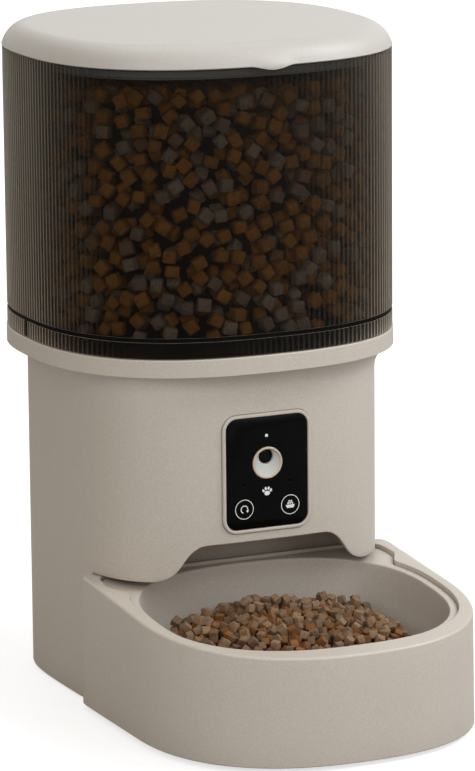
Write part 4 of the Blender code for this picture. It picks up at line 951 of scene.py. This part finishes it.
# Camera panel
def build_bezel():
    """Frame round the glass, with a flange behind the housing's wall and a post in each corner."""
    back = bezel_back
    flange_front = back - bezel_flange_thickness
    profile = [(bezel_width + gap, bezel_front, bezel_edge), (bezel_width + gap, flange_front),
               (bezel_width + bezel_flange, flange_front), (bezel_width + bezel_flange, back),
               (-bezel_ledge, back), (-bezel_ledge, glass_back + gap), (gap, glass_back + gap),
               (gap, bezel_front, 0.6 * bezel_edge)]
    bezel = swept("bezel_ring", panel_plan, rounded(profile, True), "Y")
    x = panel_half_width - bezel_post_inset
    levels = (panel_low.z + bezel_post_inset, panel_high.z - bezel_post_inset)
    posts = [rod(bezel_post_radius, (side * x, z), back - gap, back + bezel_post_height, "Y")
             for side in (-1, 1) for z in levels]
    combine(bezel, "UNION", [merged(posts)])
    dress(bezel, "warm_white", "column", "panel_bezel")


def build_glass():
    """Black cover plate with holes for the camera, the buttons, the light and the microphone."""
    profile = ((-glass_edge, glass_front), (-0.3 * glass_edge, glass_front + 0.3 * glass_edge),
               (0, glass_front + glass_edge), (0, glass_back))
    glass = swept("glass_plate", panel_plan, profile, "Y", closed=False)
    start, end = glass_front - tool_margin, glass_back + tool_margin
    holes = [rod(ring_radius + gap, spot_of("camera_ring"), start, end, "Y", 128)]
    flanges = {"status_light": 0, "left_button": button_flange, "right_button": button_flange}
    for name, flange in flanges.items():
        holes.append(rod(radius_of(name) - flange + gap, spot_of(name), start, end, "Y", 96))
    pinhole = [(pinhole_radius + pinhole_flare, start), (pinhole_radius, glass_front + pinhole_sink),
               (pinhole_radius, end)]
    holes += [turned("hole", (side * pinhole_x, pinhole_z), pinhole, count=32) for side in (-1, 1)]
    combine(glass, "DIFFERENCE", [merged(holes)])
    dress(glass, "panel_black", "column", "panel_glass")


def build_camera_ring():
    """Ring with a flat land, and in it a dish that runs down to the lens's throat."""
    x, z = spot_of("camera_ring")
    throat = lens_radius + gap
    flange = ring_radius + ring_flange
    shoulder = glass_back + gap
    profile = rounded([(ring_radius, shoulder), (ring_radius, ring_front, 2 * ring_edge),
                       (recess_radius + 2 * ring_edge, ring_front, ring_edge),
                       (recess_radius + 1.5 * ring_edge, ring_front + 2.5 * ring_edge)])
    rows = [(radius, 0, y) for radius, y in profile]
    for step in range(dish_steps + 1):
        share = step / dish_steps
        radius = recess_radius + (throat + recess_edge - recess_radius) * share
        rise = recess_rise + (lens_rise - recess_rise) * share
        depth = recess_edge + (recess_depth - 2 * recess_edge) * share ** 0.8
        rows.append((radius, rise, ring_front + depth))
    for wider, deeper in throat_steps:
        rows.append((throat + wider, lens_rise, ring_front + (recess_depth + deeper)))
    rows += [(throat, lens_rise, ring_back), (flange, 0, ring_back), (flange, 0, shoulder)]
    sections = [(circle(radius, (x, z + rise), 128), y) for radius, rise, y in rows]
    dress(loft("camera_bezel", sections, "Y", closed=True), "camera_ring", "column", "camera_ring")


def build_lens():
    spot = spot_of("lens_barrel")
    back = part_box("lens_barrel")[1].y
    seat = lens_glass_radius + gap
    glass_low, glass_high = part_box("lens_glass")
    profile = rounded([(lens_radius, back), (lens_radius, lens_front, lens_edge),
                       (seat, lens_front, lens_edge / 2), (seat, glass_high.y + gap)], steps=3)
    dress(turned("lens_tube", spot, profile), "dark_plastic", "column", "lens_barrel")
    bulge = 0.5 * (lens_front - glass_low.y + lens_glass_sink)
    profile = dome(lens_glass_radius, glass_high.y, glass_low.y, bulge, 9, tip_radius)
    dress(turned("lens_dome", spot, profile), "lens_black", "column", "lens_glass")


def arc_band(centre, radius, width, start, end, steps=48):
    """Outline of an arc with a width."""
    angles = np.linspace(start, end, steps + 1)
    return np.concatenate((around(centre, angles, radius + width / 2),
                           around(centre, angles, radius - width / 2)[::-1]))


def oval(centre, half_width, half_height, lean=0):
    across, up = circle(1, (0, 0), 40).T
    x, z = half_width * across, half_height * up
    return np.column_stack((centre[0] + x * cos(lean) - z * sin(lean),
                            centre[1] + x * sin(lean) + z * cos(lean)))


def printed(name, outlines, front, body):
    """Marks printed on a face that looks to the front."""
    marks = [prism(outline, front - mark_height, front + mark_root, "Y") for outline in outlines]
    dress(merged(marks, name), "print", body)


def round_arrow(spot):
    """Outlines of an arrow that runs round."""
    tip = around(spot, np.array([arrow_angles[0]]), arrow_radius)
    return [arc_band(spot, arrow_radius, arrow_width, *arrow_angles), tip + arrow_head]


def full_dish(spot):
    """Outlines of a dish with five pieces of food."""
    food = [oval(centre, dish_food_radius, dish_food_radius) for centre in np.array(dish_food) + spot]
    return [np.array(dish_corners) + spot] + food


def build_buttons():
    for name, mark in (("left_button", round_arrow), ("right_button", full_dish)):
        low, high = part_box(name)
        spot = spot_of(name)
        flange = radius_of(name)
        radius = flange - button_flange
        shoulder = high.y - button_flange_thickness
        profile = rounded([(0.3 * radius, low.y), (radius, low.y, button_edge), (radius, shoulder),
                           (flange, shoulder), (flange, high.y)])
        dress(turned(name + "_cap", spot, profile), "panel_black", name, name)
        ring = [arc_band(spot, radius - mark_inset, mark_width, start, start + pi, 64) for start in (0, pi)]
        printed(name + "_print", ring + mark(spot), low.y, name)


def build_panel_print():
    """A paw between the microphone and the buttons."""
    outlines = [oval((0, paw_z - paw_pad_drop), *paw_pad)]
    outlines += [oval((side * across, paw_z + up), *paw_toe, -side * lean)
                 for side in (-1, 1) for across, up, lean in paw_toes]
    printed("panel_print", outlines, glass_front, "column")


def build_status_light():
    low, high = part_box("status_light")
    profile = dome(radius_of("status_light"), high.y, low.y, light_bulge, 6, tip_radius / 2)
    light = turned("status_guide", spot_of("status_light"), profile, count=48)
    dress(light, "light_guide", "column", "status_light")


# Feet, pads and screws
def build_feet():
    for number in range(1, 5):
        name = f"base_foot_{number}"
        low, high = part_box(name)
        radius = radius_of(name)
        hollow = low.z + foot_hollow
        profile = rounded([(2 * tip_radius, hollow), (0.5 * radius, hollow), (0.56 * radius, low.z),
                           (radius, low.z, rubber_edge), (radius, high.z)])
        dress(turned(name + "_pad", spot_of(name, "Z"), profile, "Z"), "rubber", "column", name)


def build_pads():
    for name in ("tray_pad_left", "tray_pad_right"):
        low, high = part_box(name)
        sections = []
        for inset, z in rounded([(pad_slope, low.z), (0, low.z, rubber_edge), (0, high.z)]):
            outline = rounded_box((low.x + inset, low.y + inset), (high.x - inset, high.y - inset),
                                  pad_corner - inset)
            sections.append((outline, z))
        dress(loft(name + "_strip", sections), "rubber", "tray", name)


def build_screw(name, shank, head_height, axis="Z"):
    """Screw with a cross recess; its head looks down, or to the back where it lies along Y."""
    low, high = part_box(name)
    radius = radius_of(name)
    x, y = spot_of(name, axis)
    head, end, inward = (high.y, low.y, -1) if axis == "Y" else (low.z, high.z, 1)
    seat = head + inward * head_height
    profile = rounded([(tip_radius, head), (radius, head, screw_edge), (radius, seat), (shank, seat),
                       (shank, end - inward * shank / 2), (0.4 * shank, end)])
    screw = turned(name + "_shape", (x, y), profile, axis, 48)
    arm, half = 0.6 * radius, 0.12 * radius
    bars = [prism(rectangle((x - wide, y - long), (x + wide, y + long)), head - inward * tool_margin,
                  head + inward * 0.65 * head_height, axis) for wide, long in ((arm, half), (half, arm))]
    combine(screw, "DIFFERENCE", bars)
    dress(screw, "steel", "column", name)


def build_screws():
    for number in range(1, 5):
        build_screw(f"base_screw_{number}", *large_screw)
        build_screw(f"plate_screw_{number}", *large_screw)
    for number in (1, 2):
        build_screw(f"cover_screw_{number}", *small_screw, "Y")


# Hopper, funnel and lid
def hopper_plan(inset, angles):
    return superellipse(angles, hopper_sizes, (hopper_power, hopper_power), column_centre, -inset)


def hopper_angles(count):
    """Angles that part the hopper's outline into equal lengths."""
    return even_angles(lambda angles: hopper_plan(0, angles), 0, 2 * pi, count)[:-1]


def build_hopper():
    """Smoked tube with fine upright ribs, a groove for a dark band and a smooth inner wall."""
    count = rib_count * rib_points
    angles = hopper_angles(count)
    ribs = rib_depth * (0.5 - 0.5 * np.cos(2 * pi * np.arange(count) / rib_points)) ** 0.7
    from_key = abs(np.angle(np.exp(1j * (angles - key_angle)))) * hopper_half_width
    keyed = np.where(from_key < key_width / 2 + key_margin, band_depth, ribs)

    def plan(inset):
        return hopper_plan(inset, angles)

    edge = hopper_edge
    band_low = hopper_bottom + band_level
    band_high = band_low + band_width
    profile = [(hopper_wall, hopper_bottom + edge), (hopper_wall - edge, hopper_bottom),
               (edge + keyed, hopper_bottom), (keyed, hopper_bottom + edge), (keyed, band_low),
               (band_depth, band_low), (band_depth, band_high), (ribs, band_high),
               (ribs, hopper_top - edge), (edge + ribs, hopper_top), (hopper_wall - edge, hopper_top),
               (hopper_wall, hopper_top - edge)]
    hopper = swept("hopper_shell", plan, profile)
    hopper.data.set_sharp_from_angle(angle=radians(50))
    dress(hopper, "smoke", "tank", "hopper")

    face = band_depth - band_thickness
    seat = band_depth - band_margin
    low = np.where(from_key < key_width / 2, hopper_bottom + edge, band_low + band_margin)
    high = band_high - band_margin
    band = swept("hopper_band", plan, ((seat, low), (face, low), (face, high), (seat, high)))
    dress(band, "band", "tank")


def build_funnel():
    angles = hopper_angles(funnel_columns)
    low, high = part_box("hopper_funnel")
    ledge_level = housing_top - ledge_depth + gap
    outer = hopper_wall + funnel_gap
    inner = outer + funnel_ring_wall
    neck_top = low.z + funnel_neck_height
    step = high.z - funnel_step
    ring = rounded([(inner, ledge_level), (outer, ledge_level), (outer, high.z, funnel_edge),
                    (inner, high.z, funnel_edge), (inner, step)])
    sections = [(hopper_plan(inset, angles), z) for inset, z in ring]
    sections += [(around(funnel_axis, angles, radius), z) for radius, z in (
        (funnel_radius, neck_top), (funnel_radius, low.z), (funnel_radius + funnel_wall, low.z),
        (funnel_radius + funnel_wall, neck_top - funnel_wall))]
    sections.append((hopper_plan(inner, angles), step - funnel_wall))
    dress(loft("funnel_cone", sections, closed=True), "dark_plastic", "column", "hopper_funnel")


def hill(x, half_width):
    """A soft hill, 1 in the middle and 0 from half_width out."""
    share = np.clip(abs(x) / half_width, 0, 1)
    return (1 - share ** 2) ** 2


def build_lid():
    """Lid with a soft edge, a skirt with a seal groove, and a small lip at its front edge."""
    angles = hopper_angles(lid_columns)
    x, y = hopper_plan(0, angles).T
    lip = np.where(y < column_y, hill(x, lip_half_width), 0)
    drop = np.where(y < column_y, hill(x, lip_drop_half_width), 0)
    start = asin(1 - (lid_top - lid_bottom) / lid_round_rise)

    def rounding(inset, sink, steps):
        """Rows of a soft shoulder, from its lower edge in to the flat top."""
        rows = []
        for step in range(steps + 1):
            angle = start + (pi / 2 - start) * step / steps
            inward = lid_round_radial * (cos(start) - cos(angle))
            rows.append((inset + inward, lid_top - sink - lid_round_rise * (1 - sin(angle))))
        return rows

    rows = []
    for inset, z in rounding(0, 0, lid_round_steps)[:0:-1]:
        height = (z - lid_bottom) / lip_rise
        fade = max(0, 1 - height) ** 2 * (1 + 2 * height)
        rows.append((inset - lip_proud * lip * fade, z))
    face = -lip_proud * lip
    under = np.maximum(lid_overhang - gap, face + lid_edge)
    low = lid_bottom - lip_drop * drop
    rows += [(face, low + lid_edge), (face + 0.3 * lid_edge, low + 0.3 * lid_edge), (face + lid_edge, low),
             (under, low), (under, lid_bottom)]
    skirt = hopper_wall + lid_overhang + lid_skirt_gap
    groove = skirt + seal_depth
    inner = skirt + lid_skirt_wall
    skirt_low = lid_bottom - lid_skirt_drop
    edge = lid_skirt_edge
    rows += [(skirt, lid_bottom), (skirt, lid_bottom - seal_margin), (groove, lid_bottom - seal_margin),
             (groove, skirt_low + seal_margin), (skirt, skirt_low + seal_margin), (skirt, skirt_low + edge),
             (skirt + edge, skirt_low), (inner - edge, skirt_low), (inner, skirt_low + edge)]
    rows += rounding(inner, lid_wall, 8)[1:]
    lid = swept("lid_shell", lambda inset: hopper_plan(inset - lid_overhang, angles), rows, closed=False)
    dress(lid, "lid_white", "lid", "lid")


# Tray and bowl
def leaning(level):
    """Level that falls towards the front as the tray's top does, and not at all at its foot."""
    share = min(1, max(0, (level - lean_low) / (lean_high - lean_low)))
    return lambda outline: level + share * tray_slope * (outline[:, 1] - tray_y - tray_sizes[2])


def tray_outline(angles, margin):
    return superellipse(angles, tray_sizes, tray_powers, (0, tray_y), margin)


def rim_outline(angles, margin):
    """Oval round the bowl, which widens into a squarer outline behind the wing angles."""
    round_rim, wide = [superellipse(angles, rim_sizes, (power, power), (0, tray_y), margin)
                       for power in (rim_power, wing_power)]
    share = (np.arcsin(np.sin(angles)) - wing_angles[0]) / (wing_angles[1] - wing_angles[0])
    share = np.clip(share, 0, 1)
    share = (share ** 2 * (3 - 2 * share))[:, None]
    return (1 - share) * round_rim + share * wide


def bowl_outline(angles, margin, share=1):
    sizes = [share * size for size in bowl_sizes]
    return superellipse(angles, sizes, bowl_powers, (0, tray_y), margin)


def tray_angles():
    return even_angles(lambda angles: tray_outline(angles, 0), -pi / 2, 3 * pi / 2, tray_columns)[:-1]


def build_tray():
    """Tray with a round front, a flat foot, a ledge for the bowl's rim and two tongues at its back."""
    angles = tray_angles()
    top = tray_back_top
    ledge = top - rim_drop - rim_thickness - gap
    floor_top = tray_bottom + tray_wall
    profile = [(tray_foot_width, tray_bottom), (0, tray_bottom, tray_foot)]
    profile += [(tray_draft * share, tray_bottom + (top - tray_bottom) * share) for share in (0.35, 0.7)]
    profile += [(tray_draft, top, tray_round), (tray_draft + tray_round + tray_top_width, top)]
    sections = [(tray_outline(angles, -inset), leaning(z)) for inset, z in rounded(profile, steps=6)]
    profile = [(gap + rim_seat_width, top), (gap, top, rim_seat_edge), (gap, ledge),
               (gap - tray_ledge, ledge, tray_ledge_edge), (gap - tray_ledge, ledge - tray_ledge_height)]
    sections += [(rim_outline(angles, margin), leaning(z)) for margin, z in rounded(profile, steps=3)]
    profile = ((tray_wall + tray_draft, ledge - 2 * tray_ledge_height),
               (tray_wall, floor_top + tray_floor_round), (tray_wall + tray_floor_round, floor_top))
    sections += [(tray_outline(angles, -inset), leaning(z)) for inset, z in profile]
    tray = loft("tray_shell", sections)
    for vertex in tray.data.vertices:
        if vertex.co.y > tray_y and abs(vertex.co.x) < housing_half_width + leg_clearance:
            vertex.co.z = min(vertex.co.z, leg_bottom - leg_clearance)
    tongues = []
    for side in (-1, 1):
        low = (side * tongue_x - tongue_half_width, tray_back - tray_wall / 2)
        high = (side * tongue_x + tongue_half_width, tray_back + tongue_length)
        tongues.append(prism(rectangle(low, high), tongue_low, tongue_high))
    combine(tray, "UNION", [merged(tongues)])
    dress(tray, "warm_white", "tray", "tray")


def bowl_sides():
    """Profile of the bowl's inner wall, from its lip to its floor, as (share of the plan, height)."""
    depth = tray_back_top - rim_drop - bowl_lip_round - bowl_floor_z
    return [(across, bowl_floor_z + up * depth) for across, up in smooth_through(bowl_shares, 5)]


def build_bowl():
    """Bowl that hangs in the tray by its rim."""
    angles = tray_angles()
    sides = bowl_sides()
    rim_top = tray_back_top - rim_drop
    rim_low = rim_top - rim_thickness
    sections = [(bowl_outline(angles, bowl_wall, bowl_shares[-1][0]), leaning(bowl_floor_z - bowl_wall))]
    for across, z in reversed(sides):
        if z < rim_low - 2 * gap:
            sections.append((bowl_outline(angles, bowl_wall, across), leaning(z - bowl_wall / 2)))
    sections.append((bowl_outline(angles, bowl_wall), leaning(rim_low - gap)))
    profile = [(-rim_width, rim_low), (0, rim_low, rim_round), (0, rim_top, rim_round),
               (-rim_width, rim_top)]
    sections += [(rim_outline(angles, margin), leaning(z)) for margin, z in rounded(profile, steps=3)]
    for step in range(4):
        angle = pi / 2 * step / 4
        margin = bowl_lip_round * (1 - sin(angle))
        sections.append((bowl_outline(angles, margin), leaning(rim_top - bowl_lip_round * (1 - cos(angle)))))
    sections += [(bowl_outline(angles, 0, across), leaning(z)) for across, z in sides]
    dress(loft("bowl_shell", sections), "warm_white", "tray", "bowl")


# Dry food
def food_template(segments):
    """Points and faces of a cube of size 1 with rounded edges."""
    shape = bmesh.new()
    bmesh.ops.create_cube(shape, size=1)
    bmesh.ops.bevel(shape, geom=shape.edges[:], offset=0.11, segments=segments, profile=0.6,
                    affect="EDGES")
    points = np.array([vertex.co for vertex in shape.verts])
    faces = [[vertex.index for vertex in face.verts] for face in shape.faces]
    shape.free()
    return points, faces


def food_object(name, pieces, segments, random):
    """One mesh of many pieces, given as (centre, turn, size, tone), each with its own dents."""
    template, template_faces = food_template(segments)
    points = []
    faces = []
    tones = []
    for centre, turn, size, tone in pieces:
        start = len(points) * len(template)
        shape = template * (1 + random.uniform(-0.1, 0.1, 3)) * size
        shape += random.normal(0, food_dents * size, shape.shape)
        points.append(shape @ np.array(turn).T + np.array(centre))
        faces += [[start + index for index in face] for face in template_faces]
        tones += [tone] * len(template_faces)
    mesh = bpy.data.meshes.new(name)
    mesh.from_pydata(np.concatenate(points).tolist(), [], faces)
    mesh.attributes.new("tone", "FLOAT", "FACE").data.foreach_set("value", tones)
    mesh.shade_smooth()
    mesh.set_sharp_from_angle(angle=radians(50))
    return linked(name, mesh)


def scattered(random, low, high, distance, tries, wrap=None):
    """Random spots in a rectangle, none nearer to another than the distance."""
    spots = np.empty((0, 2))
    for _ in range(tries):
        spot = random.uniform(low, high)
        away = abs(spots - spot)
        if wrap:
            away[:, 0] = np.minimum(away[:, 0], wrap - away[:, 0])
        if not len(spots) or (away ** 2).sum(axis=1).min() > distance ** 2:
            spots = np.vstack((spots, spot))
    return spots


def hopper_food(random):
    """Pieces that lie flat against the wall, more behind them, and a loose top layer."""
    size = hopper_food_size
    up = Vector((0, 0, 1))
    pieces = []
    for layer in range(hopper_food_layers):
        inset = hopper_wall + gap + size * (0.64 + layer)
        angles = even_angles(lambda angles: hopper_plan(inset, angles), 0, 2 * pi, outline_steps)
        outline = hopper_plan(inset, angles)
        length = np.hypot(*np.diff(outline, axis=0).T).sum()
        low = (0, hopper_food_bottom + size * (1 + layer))
        high = (length, hopper_food_top)
        tilt = 0.12 + 0.5 * layer
        for along, z in scattered(random, low, high, size * 1.14, hopper_food_tries, length):
            index = int(along / length * outline_steps)
            step = outline[(index + 1) % outline_steps] - outline[index - 1]
            tangent = Vector((*step, 0)).normalized()
            upright = Matrix((tangent, up, tangent.cross(up))).transposed()
            turn = Euler((random.normal(0, tilt), random.normal(0, tilt), random.uniform(0, pi / 2)))
            pieces.append(((*outline[index], z), upright @ turn.to_matrix(), size, random.random()))
    inner = hopper_half_width - hopper_wall - size * 0.75
    low, high = (-inner, column_y - inner), (inner, column_y + inner)
    for x, y in scattered(random, low, high, size * 1.05, top_food_tries):
        share = (abs(x) ** hopper_power + abs(y - column_y) ** hopper_power) ** (1 / hopper_power) / inner
        if share < 0.97:
            turn = Euler(random.uniform(0, 2 * pi, 3) * (0.08, 0.08, 1)).to_matrix()
            z = hopper_food_top - size * random.uniform(0.35, 0.75)
            pieces.append(((x, y, z), turn, size, random.random()))
    return pieces


def heap_z(x, y):
    """Height of the heap's top, which falls off more steeply beyond its shoulder."""
    away = np.hypot(x - heap_centre[0], y - heap_centre[1])
    edge = np.clip((away - heap_shoulder) / heap_shoulder_width, 0, 1)
    return heap_top - heap_fall * (away / heap_radius) ** 2 - heap_shoulder_drop * edge ** 2


def bowl_share(x, y):
    """How far out a spot lies in the bowl's plan: 0 in its centre, 1 at its wall."""
    behind = int(y >= tray_y)
    length, power = bowl_sizes[1 + behind], bowl_powers[behind]
    return (abs(x / bowl_sizes[0]) ** power + abs((y - tray_y) / length) ** power) ** (1 / power)


def bowl_food(random):
    """Pieces dropped one by one on to the heap, each at rest on those below it."""
    size = heap_size
    radius = 0.62 * size
    across, heights = np.array(bowl_sides()[::-1]).T
    spots = np.empty((0, 3))
    low = (-bowl_sizes[0], tray_y - bowl_sizes[1])
    high = (bowl_sizes[0], tray_y + bowl_sizes[2])
    for index in range(heap_tries + loose_count):
        loose = index >= heap_tries
        if loose:
            aim = (random.uniform(-loose_x, loose_x), random.uniform(*loose_y))
        else:
            aim = random.uniform(low, high)
        rest = None
        for _ in range(8):
            x, y = aim + random.normal(0, 0.3 * size, 2)
            share = bowl_share(x, y)
            if share > food_reach:
                continue
            wall = leaning(np.interp(share, across, heights))(np.array([(x, y)]))[0]
            level = max(heap_z(x, y) - 2.6 * size, wall + 0.3 * size) + radius
            away = np.hypot(spots[:, 0] - x, spots[:, 1] - y)
            near = away < 2 * radius
            if near.any():
                level = max(level, (spots[near, 2] + np.sqrt(4 * radius ** 2 - away[near] ** 2)).max())
            if rest is None or level < rest[2]:
                rest = (x, y, level)
        if rest and rest[2] + radius < heap_z(rest[0], rest[1]) + (1.1 * size if loose else 0):
            spots = np.vstack((spots, rest))
    pieces = []
    for x, y, z in spots:
        # Pieces deep in the heap take darker and more orange tones: partly orange pieces, partly painted
        # shade in the gaps.
        buried = heap_z(x, y) - z > 0.9 * size
        tone = random.uniform(0.3, 1) if buried else random.uniform(0, 0.55)
        turn = Euler(random.uniform(0, 2 * pi, 3)).to_matrix()
        pieces.append(((x, y, z), turn, size * random.uniform(0.92, 1.08), tone))
    return pieces


def build_food():
    """Loose pieces on top of near-black cores that paint the shade between them, in the hopper and in the
    bowl.
    """
    random = np.random.default_rng(food_seed)
    size = hopper_food_size
    dress(food_object("hopper_food", hopper_food(random), 1, random), "hopper_food", "tank")
    # A near-black core behind the pieces in the hopper: painted shade between them.
    inset = hopper_wall + gap + size * (hopper_food_layers + 0.3)
    angles = hopper_angles(240)
    profile = (hopper_shade_core_end, (2 * hopper_shade_core_edge, hopper_food_bottom + hopper_shade_core_round),
               (0, hopper_food_bottom + 2 * hopper_shade_core_round), (0, hopper_food_top - size),
               (hopper_shade_core_edge, hopper_food_top - 0.8 * size))
    core = swept("hopper_food_core", lambda extra: hopper_plan(inset + extra, angles), profile, closed=False)
    dress(core, "food_core", "tank")

    dress(food_object("bowl_food", bowl_food(random), 2, random), "bowl_food", "tray")
    # A near-black core under the heap in the bowl: painted shade between the pieces.
    angles = tray_angles()[::3]
    sections = [(bowl_outline(angles, -2 * bowl_shade_core_gap, across), leaning(z + bowl_shade_core_gap))
                for across, z in bowl_sides()[::-1] if 0.62 < across < food_reach]
    for across in (food_reach, 0.9, 0.8, 0.6, 0.4, 0.2, 0.03):
        outline = bowl_outline(angles, 0, across)
        sections.append((outline, heap_z(*outline.T) - 2.2 * heap_size))
    dress(loft("bowl_food_core", sections), "food_core", "tray")


# Stage, light and camera
def build_floor():
    """Pale floor that takes the part's shadow and glows for the camera, to white further out."""
    material, tree = new_material("pale_floor")
    tones = ((0.3, (0.45, 0.45, 0.45, 1)), (0.7, (0.48, 0.48, 0.48, 1)))
    path = tree.nodes.new("ShaderNodeLightPath")
    away = output(tree, "VectorMath", "Value", {0: position(tree)}, operation="LENGTH")
    glow = output(tree, "Math", "Value", {
        0: path.outputs["Is Camera Ray"], 1: spread(tree, away, 0.68, 1, 0.4, 1.6)}, operation="MULTIPLY")
    with_shader(material, {
        "Base Color": ramp(tree, noise(tree, 30), tones), "Roughness": 0.9, "Specular IOR Level": 0,
        "Emission Color": (1, 1, 1, 1), "Emission Strength": glow})
    reach = 12
    floor = mesh_object("floor", place(rectangle((-reach, -reach), (reach, reach)), 0), [(0, 1, 2, 3)])
    floor.data.materials.append(material)


def build_world():
    """White to the camera, in mirror images and through glass, and a weaker, warmer light otherwise."""
    world = bpy.data.worlds.new("studio")
    bpy.context.scene.world = world
    world.use_nodes = True
    tree = world.node_tree
    path = tree.nodes.new("ShaderNodeLightPath").outputs
    mirrored = output(tree, "Math", "Value", {
        0: path["Is Glossy Ray"], 1: path["Is Transmission Ray"]}, operation="ADD")
    seen = output(tree, "Math", "Value", {0: path["Is Camera Ray"], 1: mirrored}, operation="ADD",
                  use_clamp=True)
    colours = ((0, (1, 1, 1, 1)), (1, (1, 0.78, 0.55, 1)))
    feed(tree, tree.nodes["Background"], {
        "Color": ramp(tree, path["Is Diffuse Ray"], colours), "Strength": spread(tree, seen, 0.35, 1, 0, 1)})


def area_light(name, direction, distance, size, power, colour=(0.87, 0.935, 1), mirrored=True):
    """Soft, slightly cool lamp that looks at the middle of the part."""
    lamp = bpy.data.lights.new(name, "AREA")
    lamp.color = colour
    lamp.shape = "DISK"
    lamp.size = size
    lamp.energy = power
    towards = Vector(direction).normalized()
    item = linked(name, lamp)
    item.visible_glossy = mirrored
    item.location = aim_point + towards * distance
    item.rotation_euler = towards.to_track_quat("Z", "Y").to_euler()


def build_lights():
    area_light("key", (0.75, -0.4, 0.8), 1.6, 0.9, 18.5)
    area_light("front", (0.35, -1.0, 0.45), 2.0, 1.2, 8.6)
    area_light("fill", (-0.7, -0.8, 0.5), 2.0, 1.4, 14.5)
    area_light("top", (0, 0.25, 1), 1.5, 1.2, 5.8, (0.75, 0.9, 1))
    area_light("back", (0.25, 1, 0.45), 2.0, 1.4, 7.5, mirrored=False)


def build_camera():
    """The camera that took the photograph: the aim point shows at the aim pixel."""
    back = Vector((sin(camera_azimuth) * cos(camera_elevation),
                   -cos(camera_azimuth) * cos(camera_elevation), sin(camera_elevation)))
    right = Vector((cos(camera_azimuth), sin(camera_azimuth), 0))
    up = back.cross(right)
    across = cos(camera_roll) * right + sin(camera_roll) * up
    upward = -sin(camera_roll) * right + cos(camera_roll) * up
    pixel = camera_distance / focal_pixels
    eye = aim_point + back * camera_distance
    eye -= across * (aim_pixel[0] - photo_width / 2) * pixel
    eye += upward * (aim_pixel[1] - photo_height / 2) * pixel
    data = bpy.data.cameras.new("photo_camera")
    data.lens = focal_pixels * data.sensor_width / photo_height
    data.clip_end = 50
    camera = linked("photo_camera", data)
    camera.matrix_world = Matrix((across, upward, back)).transposed().to_4x4()
    camera.location = eye
    bpy.context.scene.camera = camera


blank_stage()
dress_frame()
build_housing()
build_bezel()
build_glass()
build_camera_ring()
build_lens()
build_buttons()
build_panel_print()
build_status_light()
build_feet()
build_screws()
build_pads()
build_hopper()
build_funnel()
build_lid()
build_tray()
build_bowl()
build_food()
build_floor()
build_world()
build_lights()
build_camera()
bpy.context.scene.view_settings.view_transform = "Standard"
